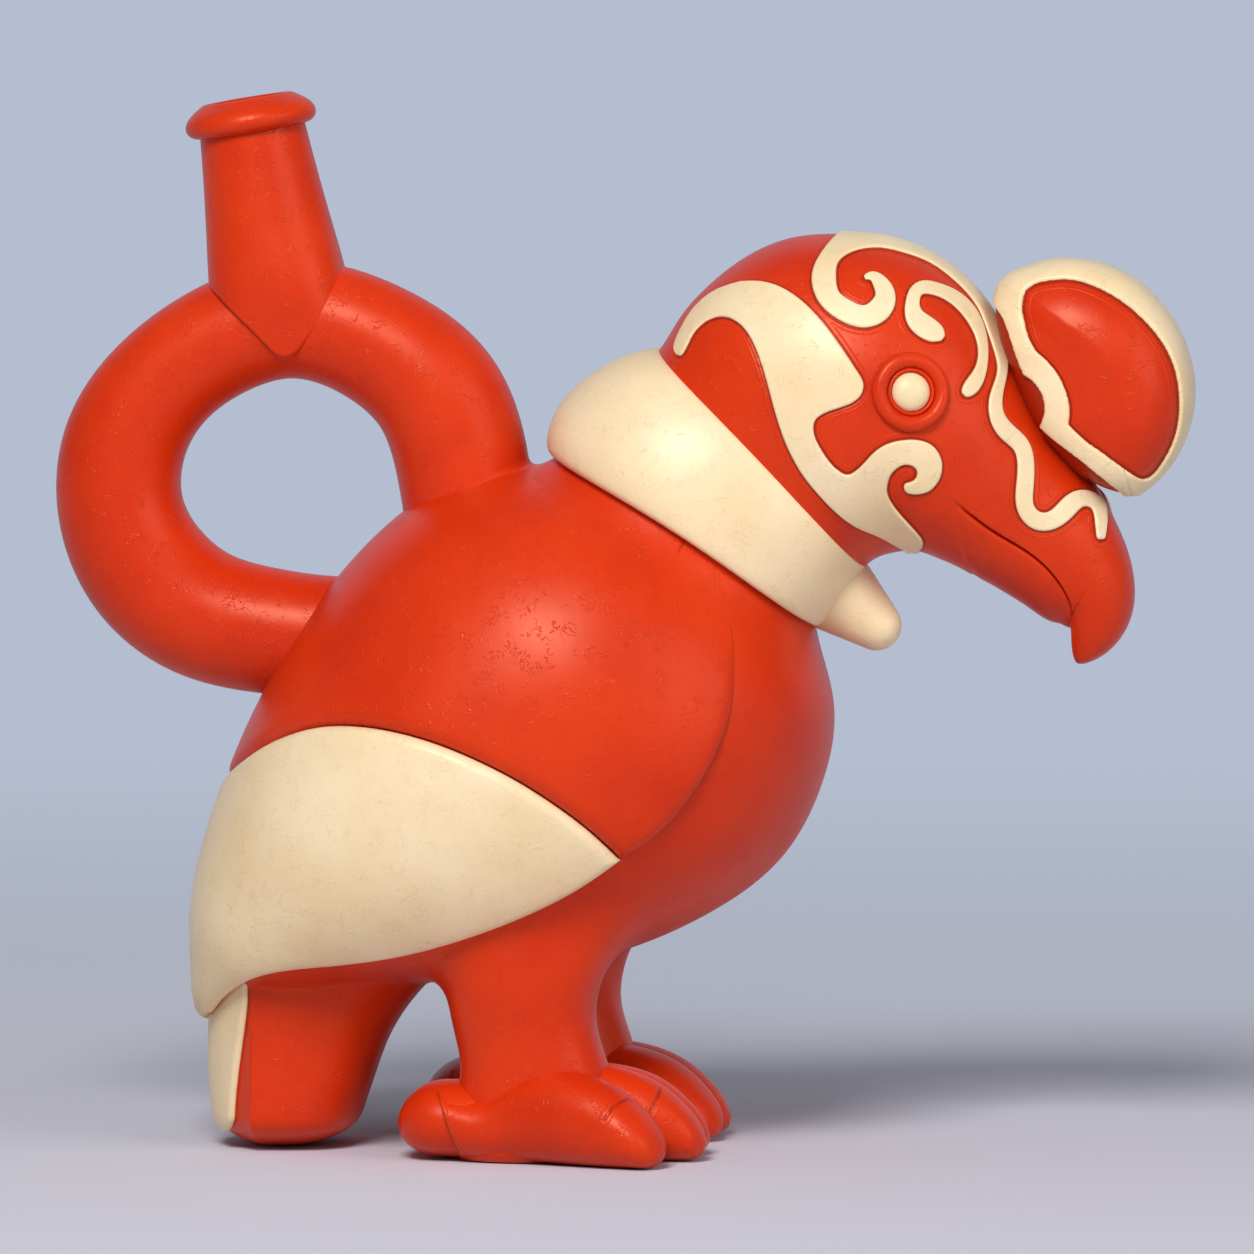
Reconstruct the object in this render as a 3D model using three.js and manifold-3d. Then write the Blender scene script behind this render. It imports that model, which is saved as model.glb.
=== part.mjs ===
// A stirrup-spout bottle in the form of a king vulture, in millimetres, +Z up.
// The bird faces +X, its right side faces -Y, and it stands on Z = 0.
import * as THREE from "three";
import { mergeVertices } from "three/addons/utils/BufferGeometryUtils.js";
import Module from "manifold-3d";

const wasm = await Module();
wasm.setup();

// Clay and joints.
const gap = 0.3; // clearance between two separate pieces
const wall = 4.5; // wall of the body, the collar and the head
const reliefRise = 0.9; // how far a slipped plate stands proud of the clay under it
const wingRise = 1.6; // how far a folded wing stands proud of the body
const reach = 250; // further from the middle than any part of the bottle

// Facets: rings along a skin, then sides round it.
const facets = {
  body: { rings: 12, sides: 18 },
  chamber: { rings: 9, sides: 14 },
  collar: { rings: 6, sides: 18 },
  collarBore: { rings: 3, sides: 12 },
  head: { rings: 10, sides: 18 },
  headHollow: { rings: 7, sides: 12 },
  bill: { rings: 11, sides: 14 },
  leg: { rings: 7, sides: 14 },
  toe: { rings: 6, sides: 12 },
  tail: { rings: 7, sides: 14 },
  stirrup: { rings: 25, sides: 14 },
  bore: { rings: 25, sides: 8 },
  spout: { rings: 7, sides: 18 },
};
// Squareness of ovals: 2 is an ellipse, and a larger number fills its corners.
const squareness = { body: 2.1, head: 2.15, bill: 2.1, leg: 2.3, toe: 2.2, tail: 3 };

// Body: back line, belly line, half width, each section from the tail to the neck.
const bodyWidth = 94;
const bodySections = [
  // back x, back z, belly x, belly z, share of the width
  [-78, 25.5, -76, 24, 0.1],
  [-78.6, 33, -68, 25.5, 0.32],
  [-78.6, 44, -58, 27.5, 0.53],
  [-76, 57, -46, 29.5, 0.7],
  [-71.2, 71, -33, 31, 0.84],
  [-65, 84.5, -17, 33, 0.94],
  [-57.5, 97, 0, 37, 0.99],
  [-48.5, 108.5, 16, 44.2, 1],
  [-38.5, 117.5, 29, 54.5, 0.97],
  [-28, 123.2, 36.5, 69, 0.89],
  [-19.5, 126.2, 38, 84, 0.77],
  [-14, 127.8, 35, 97, 0.63],
  [-8, 132, 36, 104, 0.55],
];

// Wing outline, seen from the side: front edge, lower edge, then round the back.
const wingFront = [
  [13, 112],
  [17.5, 108.5],
  [21.5, 103.5],
  [23.8, 95.5],
  [24.1, 89],
  [22.6, 81],
  [18.2, 72.2],
  [11.7, 64],
  [3.3, 57.8],
];
const wingLower = [
  [3.3, 57.8],
  [-9.7, 49.6],
  [-22.2, 44.3],
  [-37.1, 39.8],
  [-54.7, 36.8],
  [-67.6, 33.7],
  [-74.2, 29.7],
  [-78, 22],
];
const primariesTop = [
  [3.3, 57.8],
  [-2.3, 62],
  [-10.4, 68],
  [-23.6, 75.8],
  [-38.7, 80.3],
  [-50.5, 80.9],
  [-59.5, 78],
  [-67, 73.3],
  [-74, 66],
  [-84, 52],
];

// Collar round the neck, between two slanting planes.
const collarSections = [
  [-14.7, 128.8, 35.3, 97.1, 29.3],
  [-14.6, 132.5, 36.6, 97.8, 30],
  [-12.8, 137.3, 38.2, 99.5, 30],
  [-8.4, 142.3, 40.3, 102.3, 29.3],
  [-2, 146.4, 42.3, 105.2, 28],
  [4.5, 148.4, 44, 107.6, 26.2],
  [7.1, 148.5, 44.8, 108.9, 25.2],
];
const collarWall = 5;
const seamBow = { lower: 3.2, upper: 2 }; // how far each seam runs forward at the bird's sides

// Throat wattle: a rounded peg on the front of the collar.
const wattle = { base: [40, 102.7], tip: [46.3, 97.5], baseRadius: 7.3, tipRadius: 4.6, root: 4 };

// Head: height above the collar's upper plane, nape side, jaw side, half width.
const headSections = [
  [0, 27.3, -27.3, 25],
  [9, 29.1, -31.3, 27.2],
  [17, 29, -32.9, 28],
  [27, 26.7, -31.5, 26.6],
  [34, 23, -27.9, 23.2],
  [41, 16.8, -21, 17.4],
  [45.7, 11, -15.9, 11.8],
  [48.4, 5.2, -9.6, 6.4],
];

// Bill: ridge line, lower line and half width, from inside the head to the hook.
const billSections = [
  [60, 152, 46, 112, 20],
  [66.5, 149, 54, 111, 18.8],
  [73, 142.5, 61.5, 108.4, 16.4],
  [79.5, 132.8, 69, 104, 14],
  [86, 125, 75.5, 100.4, 12],
  [90.5, 118, 79.5, 98, 10.3],
  [93.6, 110, 81.6, 96.4, 9],
  [94.2, 103, 82.2, 94.6, 7.8],
  [92.6, 97.2, 82.5, 92.8, 6.3],
  [89.6, 93, 83.4, 91.4, 4.4],
  [86.8, 91, 84.8, 90.7, 2],
];
const mouthLine = [
  [48, 131],
  [61, 123.7],
  [69.3, 116.9],
  [76.6, 112.3],
  [80.6, 107.9],
  [82.8, 104.4],
  [83.7, 100.6],
  [82.4, 98],
];

// Crest: a thick disc on the bill's root, trimmed along the head and the bill.
const crestRoot = billSections[3]; // the bill's section under the crest's centre
const crest = {
  ahead: 2, // of the ridge at that section
  above: 8.8,
  radius: 23.1,
  half: 14,
  roundness: 2.6,
};
const crestCentre = [crestRoot[0] + crest.ahead, crestRoot[1] + crest.above];
// Its outlines are in shares of the disc's radius, from its centre.
const crestOutline = [
  [-0.649, 1.143],
  [-0.558, 0.81],
  [-0.342, 0.156],
  [-0.212, 0.043],
  [-0.16, -0.043],
  [-0.152, -0.156],
  [-0.186, -0.277],
  [-0.169, -0.316],
  [0.377, -0.736],
  [0.541, -0.857],
  [1.32, -1.281],
  [1.32, 1.316],
];
const crestPanel = [
  [-0.242, 0.848],
  [-0.268, 0.688],
  [-0.208, 0.42],
  [-0.065, 0.286],
  [0.056, 0.113],
  [0.104, -0.052],
  [0.113, -0.221],
  [0.589, -0.597],
  [0.68, -0.632],
  [0.857, -0.468],
  [0.944, -0.212],
  [0.948, 0.048],
  [0.87, 0.32],
  [0.68, 0.623],
  [0.494, 0.779],
  [0.26, 0.9],
  [0.065, 0.939],
  [-0.1, 0.922],
];
const stemOutline = [
  [-0.385, 0.234],
  [-0.152, 0.234],
  [0.152, -0.242],
  [0.087, -0.61],
  [-0.152, -0.502],
  [-0.437, -0.177],
];
const stemHalf = 8.5;

// Eye: a round bead with the eyeball inside it.
const eye = {
  x: 55.4,
  y: 24.2,
  z: 143,
  turn: 16, // degrees that it looks forward
  ringOuter: 7.4,
  ringInner: 4.6,
  ball: 3.5,
  proud: 1.7,
  root: 8,
};

// Scrolls on the head, seen from the side: each row is a point on the band's middle and its width.
const crownScroll = [
  // spiral on the nape, opening upwards
  [45.7, 163.3, 0.7],
  [47.1, 163.6, 1.7],
  [48.8, 162.4, 3],
  [49.9, 160.3, 3.9],
  [49.4, 158.2, 4.4],
  [46.6, 156.7, 4.3],
  [42.9, 157.8, 4.3],
  [40, 159.9, 4.3],
  [38.4, 163.7, 4.5],
  [39.3, 167, 3.9],
  [41.6, 169, 4.2],
  // along the crown, past the middle plane
  [45, 170.2, 4.8],
  [51, 169.8, 4.8],
  [57.3, 167.8, 4.8],
  [62.6, 164, 5],
  [67.5, 158.6, 4.9],
  // down between the brow and the crest
  [69.1, 154.4, 3.3],
  [70.3, 150, 2.4],
  [70.6, 145.7, 1.9],
  [69.5, 140.9, 2.4],
  [69.7, 137.5, 2.8],
  [71.6, 134.6, 3.3],
  [74.4, 132.2, 3.1],
  // wave on the bill, ending in a hook
  [75.3, 128.6, 3.1],
  [75.1, 124, 3.3],
  [75.5, 120.3, 3.3],
  [77.7, 118.3, 3.5],
  [80.3, 118.5, 3.5],
  [82.9, 120.5, 3.7],
  [85.5, 122.4, 3.3],
  [88.3, 121.5, 2.6],
  [89.2, 118.2, 2.2],
  [89.2, 115, 1.3],
];
const browScroll = [
  [60.6, 152.1, 1.7],
  [59.2, 153.3, 3.5],
  [56.1, 155.6, 4],
  [54.8, 158.6, 2.9],
  [55.6, 161.1, 2.6],
  [58.5, 160.9, 2.4],
  [62.5, 158.5, 2.6],
  [65.4, 154.8, 2.4],
  [67.1, 149.7, 1.9],
  [66.8, 145.9, 2.4],
  [65.4, 143.1, 2.8],
  [64.1, 141.8, 1.5],
];
// Cheek: a leaf-shaped plate, and the scroll that curls forward from it.
const cheekPlate = [
  [22.6, 162.2],
  [28.7, 162.2],
  [33.7, 160.1],
  [40.1, 154.4],
  [46.5, 145.3],
  [46.5, 142.8],
  [39.2, 138.9],
  [37.7, 136.8],
  [39.1, 132.3],
  [43.8, 127.8],
  [47.5, 128.4],
  [51, 123.6],
  [55.9, 113.6],
  [49.2, 115.2],
  [44.5, 117.7],
  [37.9, 124.1],
  [33.1, 131.7],
  [30.9, 137.4],
  [26.9, 149.8],
  [22.8, 154.9],
  [16.4, 154.8],
  [10.9, 147.9],
  [9.5, 148.5],
  [13, 156.5],
];
const cheekScroll = [
  [44, 124.7, 4.1],
  [47.5, 128.1, 4.8],
  [50.6, 131.1, 4.8],
  [54.2, 131.8, 4.4],
  [57.9, 130.9, 3.9],
  [58.6, 128.2, 3.5],
  [56.8, 126.2, 3],
  [54.5, 125.1, 2],
];

// Tail: height, rear x, front x, half width; its cream stripe lies on the rear face.
const tailSections = [
  [0, -69, -55, 11],
  [1, -71.3, -53, 13.3],
  [4.2, -74.2, -50.8, 16.4],
  [9, -76.3, -49, 17.6],
  [20, -76.9, -44.6, 18.8],
  [30, -76.2, -37, 20.5],
  [42, -72, -30, 23],
];
const stripeEdge = [
  [-72.8, 4],
  [-71.4, 6.6],
  [-69.8, 16],
  [-67.8, 34],
];

// Legs: height, rear x, front x, centre y, half width.
const legSections = [
  [0, -30, -3, 21.5, 10.5],
  [6, -30.4, -2.4, 21.5, 12],
  [16, -28.4, -2.4, 21.5, 11.6],
  [25, -30, -3.8, 21.6, 12],
  [33, -31.6, -1.5, 22.5, 13.6],
  [42, -36, 2, 22.5, 15.5],
  [52, -38, 4, 22, 16],
];

// Toes: each has a heading from the ankle, a length and a width.
const ankle = { x: -15.5, y: 21.5 };
const toes = [
  { name: "hind_toe", heading: 180, length: 24.6, half: 10.2, tall: 13.6 },
  { name: "outer_toe", heading: 27.5, length: 28, half: 6.8, tall: 15.2 },
  { name: "middle_toe", heading: 0, length: 32.2, half: 6.3, tall: 15.2 },
  { name: "inner_toe", heading: -20.5, length: 33.2, half: 6.5, tall: 15.2 },
];
const toeProfile = [
  // share of the length, top and underside as shares of the height, share of the half width
  [0.12, 1, -0.17, 0.8],
  [0.4, 1, -0.17, 0.94],
  [0.62, 0.93, -0.17, 1],
  [0.8, 0.82, -0.15, 0.98],
  [0.91, 0.68, -0.08, 0.84],
  [0.97, 0.54, 0.06, 0.6],
  [1, 0.42, 0.18, 0.3],
];

// Stirrup: a bored tube along one path, from inside the breast over the top to inside the back.
const stirrupPath = [
  // x, z, radius of the tube
  [-23.6, 115.8, 11.5],
  [-29.6, 125.9, 11.5],
  [-34.8, 138.1, 11.4],
  [-45, 148.3, 11.2],
  [-62.7, 153.3, 10.9],
  [-76.6, 148.9, 10.6],
  [-86.9, 141.1, 10.7],
  [-93.6, 130.1, 11.4],
  [-94.3, 117.6, 11.7],
  [-88.7, 106, 12.2],
  [-79.4, 98.8, 12.1],
  [-67.3, 95.6, 11.7],
  [-57.1, 94.5, 11.4],
  [-47.8, 94.3, 11.3],
];
const stirrupBore = 8;

// Spout: rises from a notch between the arms and leans back.
const notch = { tip: [-61.7, 147.5], left: [-78.5, 159.9], right: [-51.7, 162.5] };
const spoutFoot = [-62.9, 147.5]; // where the spout's axis meets the notch
const spoutLean = 9.4; // degrees back from upright
const spoutSections = [
  // height along the spout from the notch's tip, half across, half deep
  [-3, 14.6, 11.4],
  [3, 14.2, 11.9],
  [9, 13.6, 12.4],
  [15, 13, 12.4],
  [22, 12, 11.8],
  [31, 10.8, 10.8],
  [41.7, 9.8, 9.8],
];
const spoutBore = 6.8;
const rimProfile = [
  // radius, height above the tube's top
  [7, 0],
  [9.9, 0],
  [11.6, 0.6],
  [12.2, 1.9],
  [11.7, 3.4],
  [10, 5],
  [8.6, 6],
  [7.5, 5.9],
  [7, 5],
];

const redSlip = new THREE.MeshStandardMaterial({ color: "#d93a17", roughness: 0.42, metalness: 0 });
const creamSlip = new THREE.MeshStandardMaterial({ color: "#ecd2a4", roughness: 0.5, metalness: 0 });

// A geometry's closed mesh as a solid that can be joined and cut, its faces turned outwards.
function solid(geometry) {
  const bare = geometry.index ? geometry.toNonIndexed() : geometry.clone();
  bare.deleteAttribute("normal");
  bare.deleteAttribute("uv");
  const merged = mergeVertices(bare, 1e-4);
  const vertProperties = merged.attributes.position.array;
  const triVerts = new Uint32Array(merged.index.array);
  const made = new wasm.Manifold(new wasm.Mesh({ numProp: 3, vertProperties, triVerts }));
  if (made.volume() > 0) return made;
  return new wasm.Manifold(
    new wasm.Mesh({ numProp: 3, vertProperties, triVerts: triVerts.reverse() }),
  );
}

// The main body of a cut shape, without the chips that the cut leaves.
function main(shape) {
  return shape.decompose().reduce((a, b) => (b.volume() > a.volume() ? b : a));
}

// A solid as a geometry, turned over to the bird's left side if asked.
function surface(shape, left = false) {
  const mesh = shape.getMesh();
  const triangles = mesh.triVerts.slice();
  const points = mesh.vertProperties.slice();
  if (left) {
    for (let i = 1; i < points.length; i += 3) points[i] = -points[i];
    triangles.reverse();
  }
  return new THREE.BufferGeometry()
    .setAttribute("position", new THREE.BufferAttribute(points, 3))
    .setIndex(new THREE.BufferAttribute(triangles, 1));
}

// The smooth row between rows of numbers, t running from 0 to 1 over all of them.
function between(rows, t) {
  const at = t * (rows.length - 1);
  const i = Math.min(Math.floor(at), rows.length - 2);
  const f = at - i;
  const row = (k) => rows[Math.min(Math.max(k, 0), rows.length - 1)];
  return rows[0].map((_, c) => {
    const [a, b, d, e] = [row(i - 1)[c], row(i)[c], row(i + 1)[c], row(i + 2)[c]];
    return b + 0.5 * f * (d - a + f * (2 * a - 5 * b + 4 * d - e + f * (3 * (b - d) + e - a)));
  });
}

// A closed skin over rings, each an oval given by its centre and its two half axes.
function skin(rings, sides, square = 2) {
  const points = [];
  const faces = [];
  const power = 2 / square;
  const bend = (v) => Math.sign(v) * Math.abs(v) ** power;
  for (const { centre, up, side } of rings) {
    for (let k = 0; k < sides; k++) {
      const a = (k / sides) * 2 * Math.PI;
      const p = centre.clone().addScaledVector(up, bend(Math.cos(a)));
      points.push(...p.addScaledVector(side, bend(Math.sin(a))).toArray());
    }
  }
  const last = rings.length - 1;
  for (let r = 0; r < last; r++) {
    for (let k = 0; k < sides; k++) {
      const [a, b] = [r * sides + k, r * sides + ((k + 1) % sides)];
      faces.push(a, b, a + sides, b, b + sides, a + sides);
    }
  }
  points.push(...rings[0].centre.toArray(), ...rings[last].centre.toArray());
  const first = rings.length * sides;
  for (let k = 0; k < sides; k++) {
    const next = (k + 1) % sides;
    faces.push(first, next, k, first + 1, last * sides + k, last * sides + next);
  }
  const geometry = new THREE.BufferGeometry()
    .setAttribute("position", new THREE.Float32BufferAttribute(points, 3))
    .setIndex(faces);
  return solid(geometry);
}

// A ring across the plane of symmetry, between a point above and a point below.
function midRing([topX, topZ, lowX, lowZ, half], grow = 0) {
  const top = new THREE.Vector3(topX, 0, topZ);
  const low = new THREE.Vector3(lowX, 0, lowZ);
  const up = top.clone().sub(low).multiplyScalar(0.5);
  const centre = low.add(up);
  up.setLength(Math.max(up.length() + grow, 0.2));
  return { centre, up, side: new THREE.Vector3(0, Math.max(half + grow, 0.2), 0) };
}

// Rings over the whole of a list of sections, its ends moved out by grow.
function ringsOf(sections, count, toRing, grow = 0) {
  const rings = [];
  for (let i = 0; i < count; i++) rings.push(toRing(between(sections, i / (count - 1)), grow));
  if (grow) {
    const push = (ring, from) => {
      const away = ring.centre.clone().sub(from.centre).setLength(Math.abs(grow));
      const moved = { ...ring, centre: ring.centre.clone() };
      moved.centre.addScaledVector(away, Math.sign(grow));
      return moved;
    };
    rings[0] = push(rings[0], rings[1]);
    rings[count - 1] = push(rings[count - 1], rings[count - 2]);
  }
  return rings;
}

// The smooth closed or open line through points given as x, z.
function line(points, closed, steps) {
  const curve = new THREE.CatmullRomCurve3(
    points.map(([x, z]) => new THREE.Vector3(x, z, 0)),
    closed,
    "centripetal",
  );
  const made = curve.getPoints(steps);
  if (closed) made.pop();
  return made.map((p) => new THREE.Vector2(p.x, p.y));
}

// The outline of a band along a smooth middle line, from rows of x, z and width.
function band(rows, steps) {
  const [left, right] = [[], []];
  for (let i = 0; i <= steps; i++) {
    const [x, z, width] = between(rows, i / steps);
    const back = between(rows, Math.max(i - 0.5, 0) / steps);
    const ahead = between(rows, Math.min(i + 0.5, steps) / steps);
    const across = new THREE.Vector2(back[1] - ahead[1], ahead[0] - back[0]).setLength(width / 2);
    left.push(new THREE.Vector2(x, z).add(across));
    right.unshift(new THREE.Vector2(x, z).sub(across));
  }
  return [...left, ...right];
}

// A slab with a side-view outline, from y = -near to y = -far.
function slab(outline, near = 0, far = reach) {
  const geometry = new THREE.ExtrudeGeometry(new THREE.Shape(outline), {
    depth: far - near,
    bevelEnabled: false,
  });
  return solid(geometry.rotateX(Math.PI / 2).translate(0, -near, 0));
}

// A side-view outline moved outwards by a distance, or inwards if it is negative.
function offset(outline, distance) {
  const count = outline.length;
  const turn = Math.sign(THREE.ShapeUtils.area(outline));
  return outline.map((p, i) => {
    const before = outline[(i + count - 1) % count];
    const after = outline[(i + 1) % count];
    const along = after.clone().sub(before).normalize();
    return new THREE.Vector2(p.x + along.y * distance * turn, p.y - along.x * distance * turn);
  });
}

const corner = ([x, z]) => new THREE.Vector2(x, z);
const both = (outline) => slab(outline, -reach, reach);
const square = (low) => [[-reach, low], [reach, low], [reach, reach], [-reach, reach]].map(corner);
const rightHalf = slab(square(-reach), gap / 2);
const aboveGround = both(square(0));

// The half of space beyond a line from a to b, seen from the side, on its left hand.
function beyond(a, b, shift = 0) {
  const along = corner(b).sub(corner(a)).normalize();
  const across = new THREE.Vector2(-along.y, along.x);
  const from = corner(a).addScaledVector(across, shift);
  return both([
    from.clone().addScaledVector(along, -reach),
    from.clone().addScaledVector(along, reach),
    from.clone().addScaledVector(along, reach).addScaledVector(across, reach),
    from.clone().addScaledVector(along, -reach).addScaledVector(across, reach),
  ]);
}

// Body, grown or shrunk all round.
function bodySolid(grow, { rings, sides } = facets.body) {
  const rows = bodySections.map(([a, b, c, d, share]) => [a, b, c, d, (share * bodyWidth) / 2]);
  return skin(ringsOf(rows, rings, midRing, grow), sides, squareness.body);
}

// Wing region: everything behind its front edge and above its lower edge.
const wingOutline = [
  ...line(wingFront, false, 8),
  ...line(wingLower, false, 8).slice(1),
  ...[[-82, 16], [-reach, 16], [-reach, reach], [0, reach]].map(corner),
];
const primariesOutline = [
  ...line(primariesTop, false, 10).slice(1),
  ...[[-reach, 40], [-reach, -reach], [reach, -reach], [reach, primariesTop[0][1]]].map(corner),
  corner(primariesTop[0]),
];

// Stirrup: a tube along its whole path, as wide as the path's rows say or of one radius.
function stirrupTube(grow, { rings: count, sides } = facets.stirrup, radius) {
  const rows = Array.from({ length: count }, (_, i) => between(stirrupPath, i / (count - 1)));
  const rings = rows.map(([x, z, wide], i) => {
    const [before, after] = [rows[Math.max(i - 1, 0)], rows[Math.min(i + 1, count - 1)]];
    const across = new THREE.Vector3(after[1] - before[1], 0, before[0] - after[0]);
    const size = radius ?? wide + grow;
    return {
      centre: new THREE.Vector3(x, 0, z),
      up: across.setLength(size),
      side: new THREE.Vector3(0, size, 0),
    };
  });
  return skin(rings, sides);
}

// Spout: its lean, its notch between the arms and its tube.
const lean = THREE.MathUtils.degToRad(spoutLean);
const spoutUp = new THREE.Vector3(-Math.sin(lean), 0, Math.cos(lean));
const spoutAcross = new THREE.Vector3(Math.cos(lean), 0, Math.sin(lean));
const spoutPoint = (height) =>
  new THREE.Vector3(spoutFoot[0], 0, spoutFoot[1]).addScaledVector(spoutUp, height);
const spoutRing = ([height, across, deep], grow = 0) => ({
  centre: spoutPoint(height),
  up: spoutAcross.clone().setLength(across + grow),
  side: new THREE.Vector3(0, deep + grow, 0),
});
// The space over the notch, its floor lowered by a distance.
const aboveNotch = (lower) => {
  const [tip, left, right] = [notch.tip, notch.left, notch.right].map(([x, z]) => [x, z - lower]);
  return beyond(left, tip).intersect(beyond(tip, right));
};

// Collar planes: lower, towards the body, and upper, towards the head.
const lowerSeat = collarSections[0];
const upperSeat = collarSections[collarSections.length - 1];
// The space on the head's side of a seam, which runs forward at the bird's sides as a parabola.
function aboveSeat([napeX, napeZ, throatX, throatZ, half], bow, shift) {
  const nape = new THREE.Vector3(napeX, 0, napeZ);
  const throat = new THREE.Vector3(throatX, 0, throatZ);
  const along = throat.clone().sub(nape).normalize();
  const out = new THREE.Vector3(-along.z, 0, along.x);
  const seam = new THREE.Shape();
  seam.moveTo(-reach, reach);
  for (const share of [-1.3, -0.85, -0.45, 0, 0.45, 0.85, 1.3]) {
    seam.lineTo(share * half, bow * share ** 2 + shift);
  }
  seam.lineTo(reach, reach);
  const place = new THREE.Matrix4().makeBasis(new THREE.Vector3(0, 1, 0), out, along);
  place.setPosition(nape.addScaledVector(along, -reach));
  const depth = 2 * reach;
  const geometry = new THREE.ExtrudeGeometry(seam, { depth, bevelEnabled: false });
  return solid(geometry.applyMatrix4(place));
}
const aboveLower = (shift) => aboveSeat(lowerSeat, seamBow.lower, shift);
const aboveUpper = (shift) => aboveSeat(upperSeat, seamBow.upper, shift);

// Head: rings parallel to the collar's upper plane.
const seatCentre = new THREE.Vector3(
  (upperSeat[0] + upperSeat[2]) / 2,
  0,
  (upperSeat[1] + upperSeat[3]) / 2,
);
const headUp = new THREE.Vector3(upperSeat[0] - upperSeat[2], 0, upperSeat[1] - upperSeat[3]).normalize();
const headOut = new THREE.Vector3(headUp.z, 0, -headUp.x);
const headRing = ([rise, nape, jaw, half], grow = 0) => ({
  centre: seatCentre
    .clone()
    .addScaledVector(headOut, rise)
    .addScaledVector(headUp, (nape + jaw) / 2),
  up: headUp.clone().setLength((nape - jaw) / 2 + grow),
  side: new THREE.Vector3(0, half + grow, 0),
});
function headSolid(grow, { rings, sides } = facets.head) {
  const below = headSections[0].slice();
  below[0] = -6;
  return skin(ringsOf([below, ...headSections], rings, headRing, grow), sides, squareness.head);
}

// Bill, whole, before the mouth divides it.
const billSolid = (grow, { rings, sides } = facets.bill) =>
  skin(ringsOf(billSections, rings, midRing, grow), sides, squareness.bill);
const underBill = [[80, 84], [40, 84]].map(corner); // clear below the lower bill
const mouthCurve = line(mouthLine, false, 14);
const belowMouth = (grow) => both(offset([...mouthCurve, ...underBill], grow));

// Crest disc, its rim rounded over by a power curve.
function crestDisc(grow) {
  const steps = 8;
  const power = 2 / crest.roundness;
  const profile = [];
  for (let i = 0; i <= steps; i++) {
    const a = (i / steps) * Math.PI;
    const out = i % steps ? Math.sin(a) ** power * (crest.radius + grow) : 0;
    const along = -Math.sign(Math.cos(a)) * Math.abs(Math.cos(a)) ** power * (crest.half + grow);
    profile.push(new THREE.Vector2(out, along));
  }
  return solid(new THREE.LatheGeometry(profile, 22).translate(crestCentre[0], 0, crestCentre[1]));
}
const onDisc = ([x, z]) => [crestCentre[0] + x * crest.radius, crestCentre[1] + z * crest.radius];

// A toe: rings along its heading, flat under the sole.
function toeSolid({ heading, length, half, tall }) {
  const a = THREE.MathUtils.degToRad(heading);
  const along = new THREE.Vector3(Math.cos(a), -Math.sin(a), 0);
  const side = new THREE.Vector3(Math.sin(a), Math.cos(a), 0);
  const start = new THREE.Vector3(ankle.x, -ankle.y, 0);
  const toRing = ([share, high, low, wide]) => ({
    centre: start
      .clone()
      .addScaledVector(along, share * length)
      .setZ((tall * (high + low)) / 2),
    up: new THREE.Vector3(0, 0, (tall * (high - low)) / 2),
    side: side.clone().multiplyScalar(wide * half),
  });
  const { rings, sides } = facets.toe;
  return skin(ringsOf(toeProfile, rings, toRing), sides, squareness.toe).intersect(aboveGround);
}

// A leg: level rings from the sole up into the body.
function legSolid(grow) {
  const toRing = ([z, rear, front, y, half], more) => ({
    centre: new THREE.Vector3((rear + front) / 2, -y, z),
    up: new THREE.Vector3((front - rear) / 2 + more, 0, 0),
    side: new THREE.Vector3(0, half + more, 0),
  });
  const { rings, sides } = facets.leg;
  return skin(ringsOf(legSections, rings, toRing, grow), sides, squareness.leg);
}

// The tail: level rings, squarish, from the ground up into the body.
function tailSolid(grow) {
  const toRing = ([z, rear, front, half], more) => ({
    centre: new THREE.Vector3((rear + front) / 2, 0, z),
    up: new THREE.Vector3((front - rear) / 2 + more, 0, 0),
    side: new THREE.Vector3(0, half + more, 0),
  });
  const { rings, sides } = facets.tail;
  return skin(ringsOf(tailSections, rings, toRing, grow), sides, squareness.tail);
}

// A turned piece at the right eye, from radii and heights above the head's side.
function eyeTurned(profile, sides) {
  const points = profile.map(([radius, out]) => new THREE.Vector2(radius, -out));
  const turned = new THREE.LatheGeometry(points, sides).rotateZ(THREE.MathUtils.degToRad(eye.turn));
  return solid(turned.translate(eye.x, -eye.y, eye.z));
}

const root = new THREE.Group();
root.name = "vulture_bottle";

// One piece, named, in its slip.
function add(name, shape, material) {
  const mesh = new THREE.Mesh(surface(shape), material);
  mesh.name = name;
  root.add(mesh);
}

// A piece on the bird's right and its twin on the left.
function addPair(name, shape, material) {
  add("right_" + name, shape, material);
  const twin = new THREE.Mesh(surface(shape, true), material);
  twin.name = "left_" + name;
  root.add(twin);
}

// Envelopes that other pieces are cut by.
const bodyKeepOut = bodySolid(gap);
const headKeepOut = headSolid(gap);
const billKeepOut = billSolid(gap);
const stirrupKeepOut = stirrupTube(gap);
const bore = stirrupTube(0, facets.bore, stirrupBore);
const notHead = aboveLower(-gap);

// Body: two moulded halves, open to the neck and to both arms of the stirrup.
const chamber = bodySolid(-wall, facets.chamber);
const bodyShell = bodySolid(0).subtract(chamber).subtract(bore).subtract(notHead);
addPair("body_half", bodyShell.intersect(rightHalf), redSlip);

// Wings: red coverts above and cream primaries below, both a skin over the body.
const wingSkin = bodySolid(wingRise)
  .subtract(bodyKeepOut)
  .intersect(slab(wingOutline))
  .intersect(rightHalf)
  .subtract(notHead)
  .subtract(stirrupKeepOut);
addPair("wing_primaries", wingSkin.intersect(slab(offset(primariesOutline, -gap / 2))), creamSlip);
addPair("wing_coverts", wingSkin.subtract(slab(offset(primariesOutline, gap / 2))), redSlip);
const wingKeepOut = bodySolid(wingRise + gap).intersect(both(offset(wingOutline, gap)));

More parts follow.
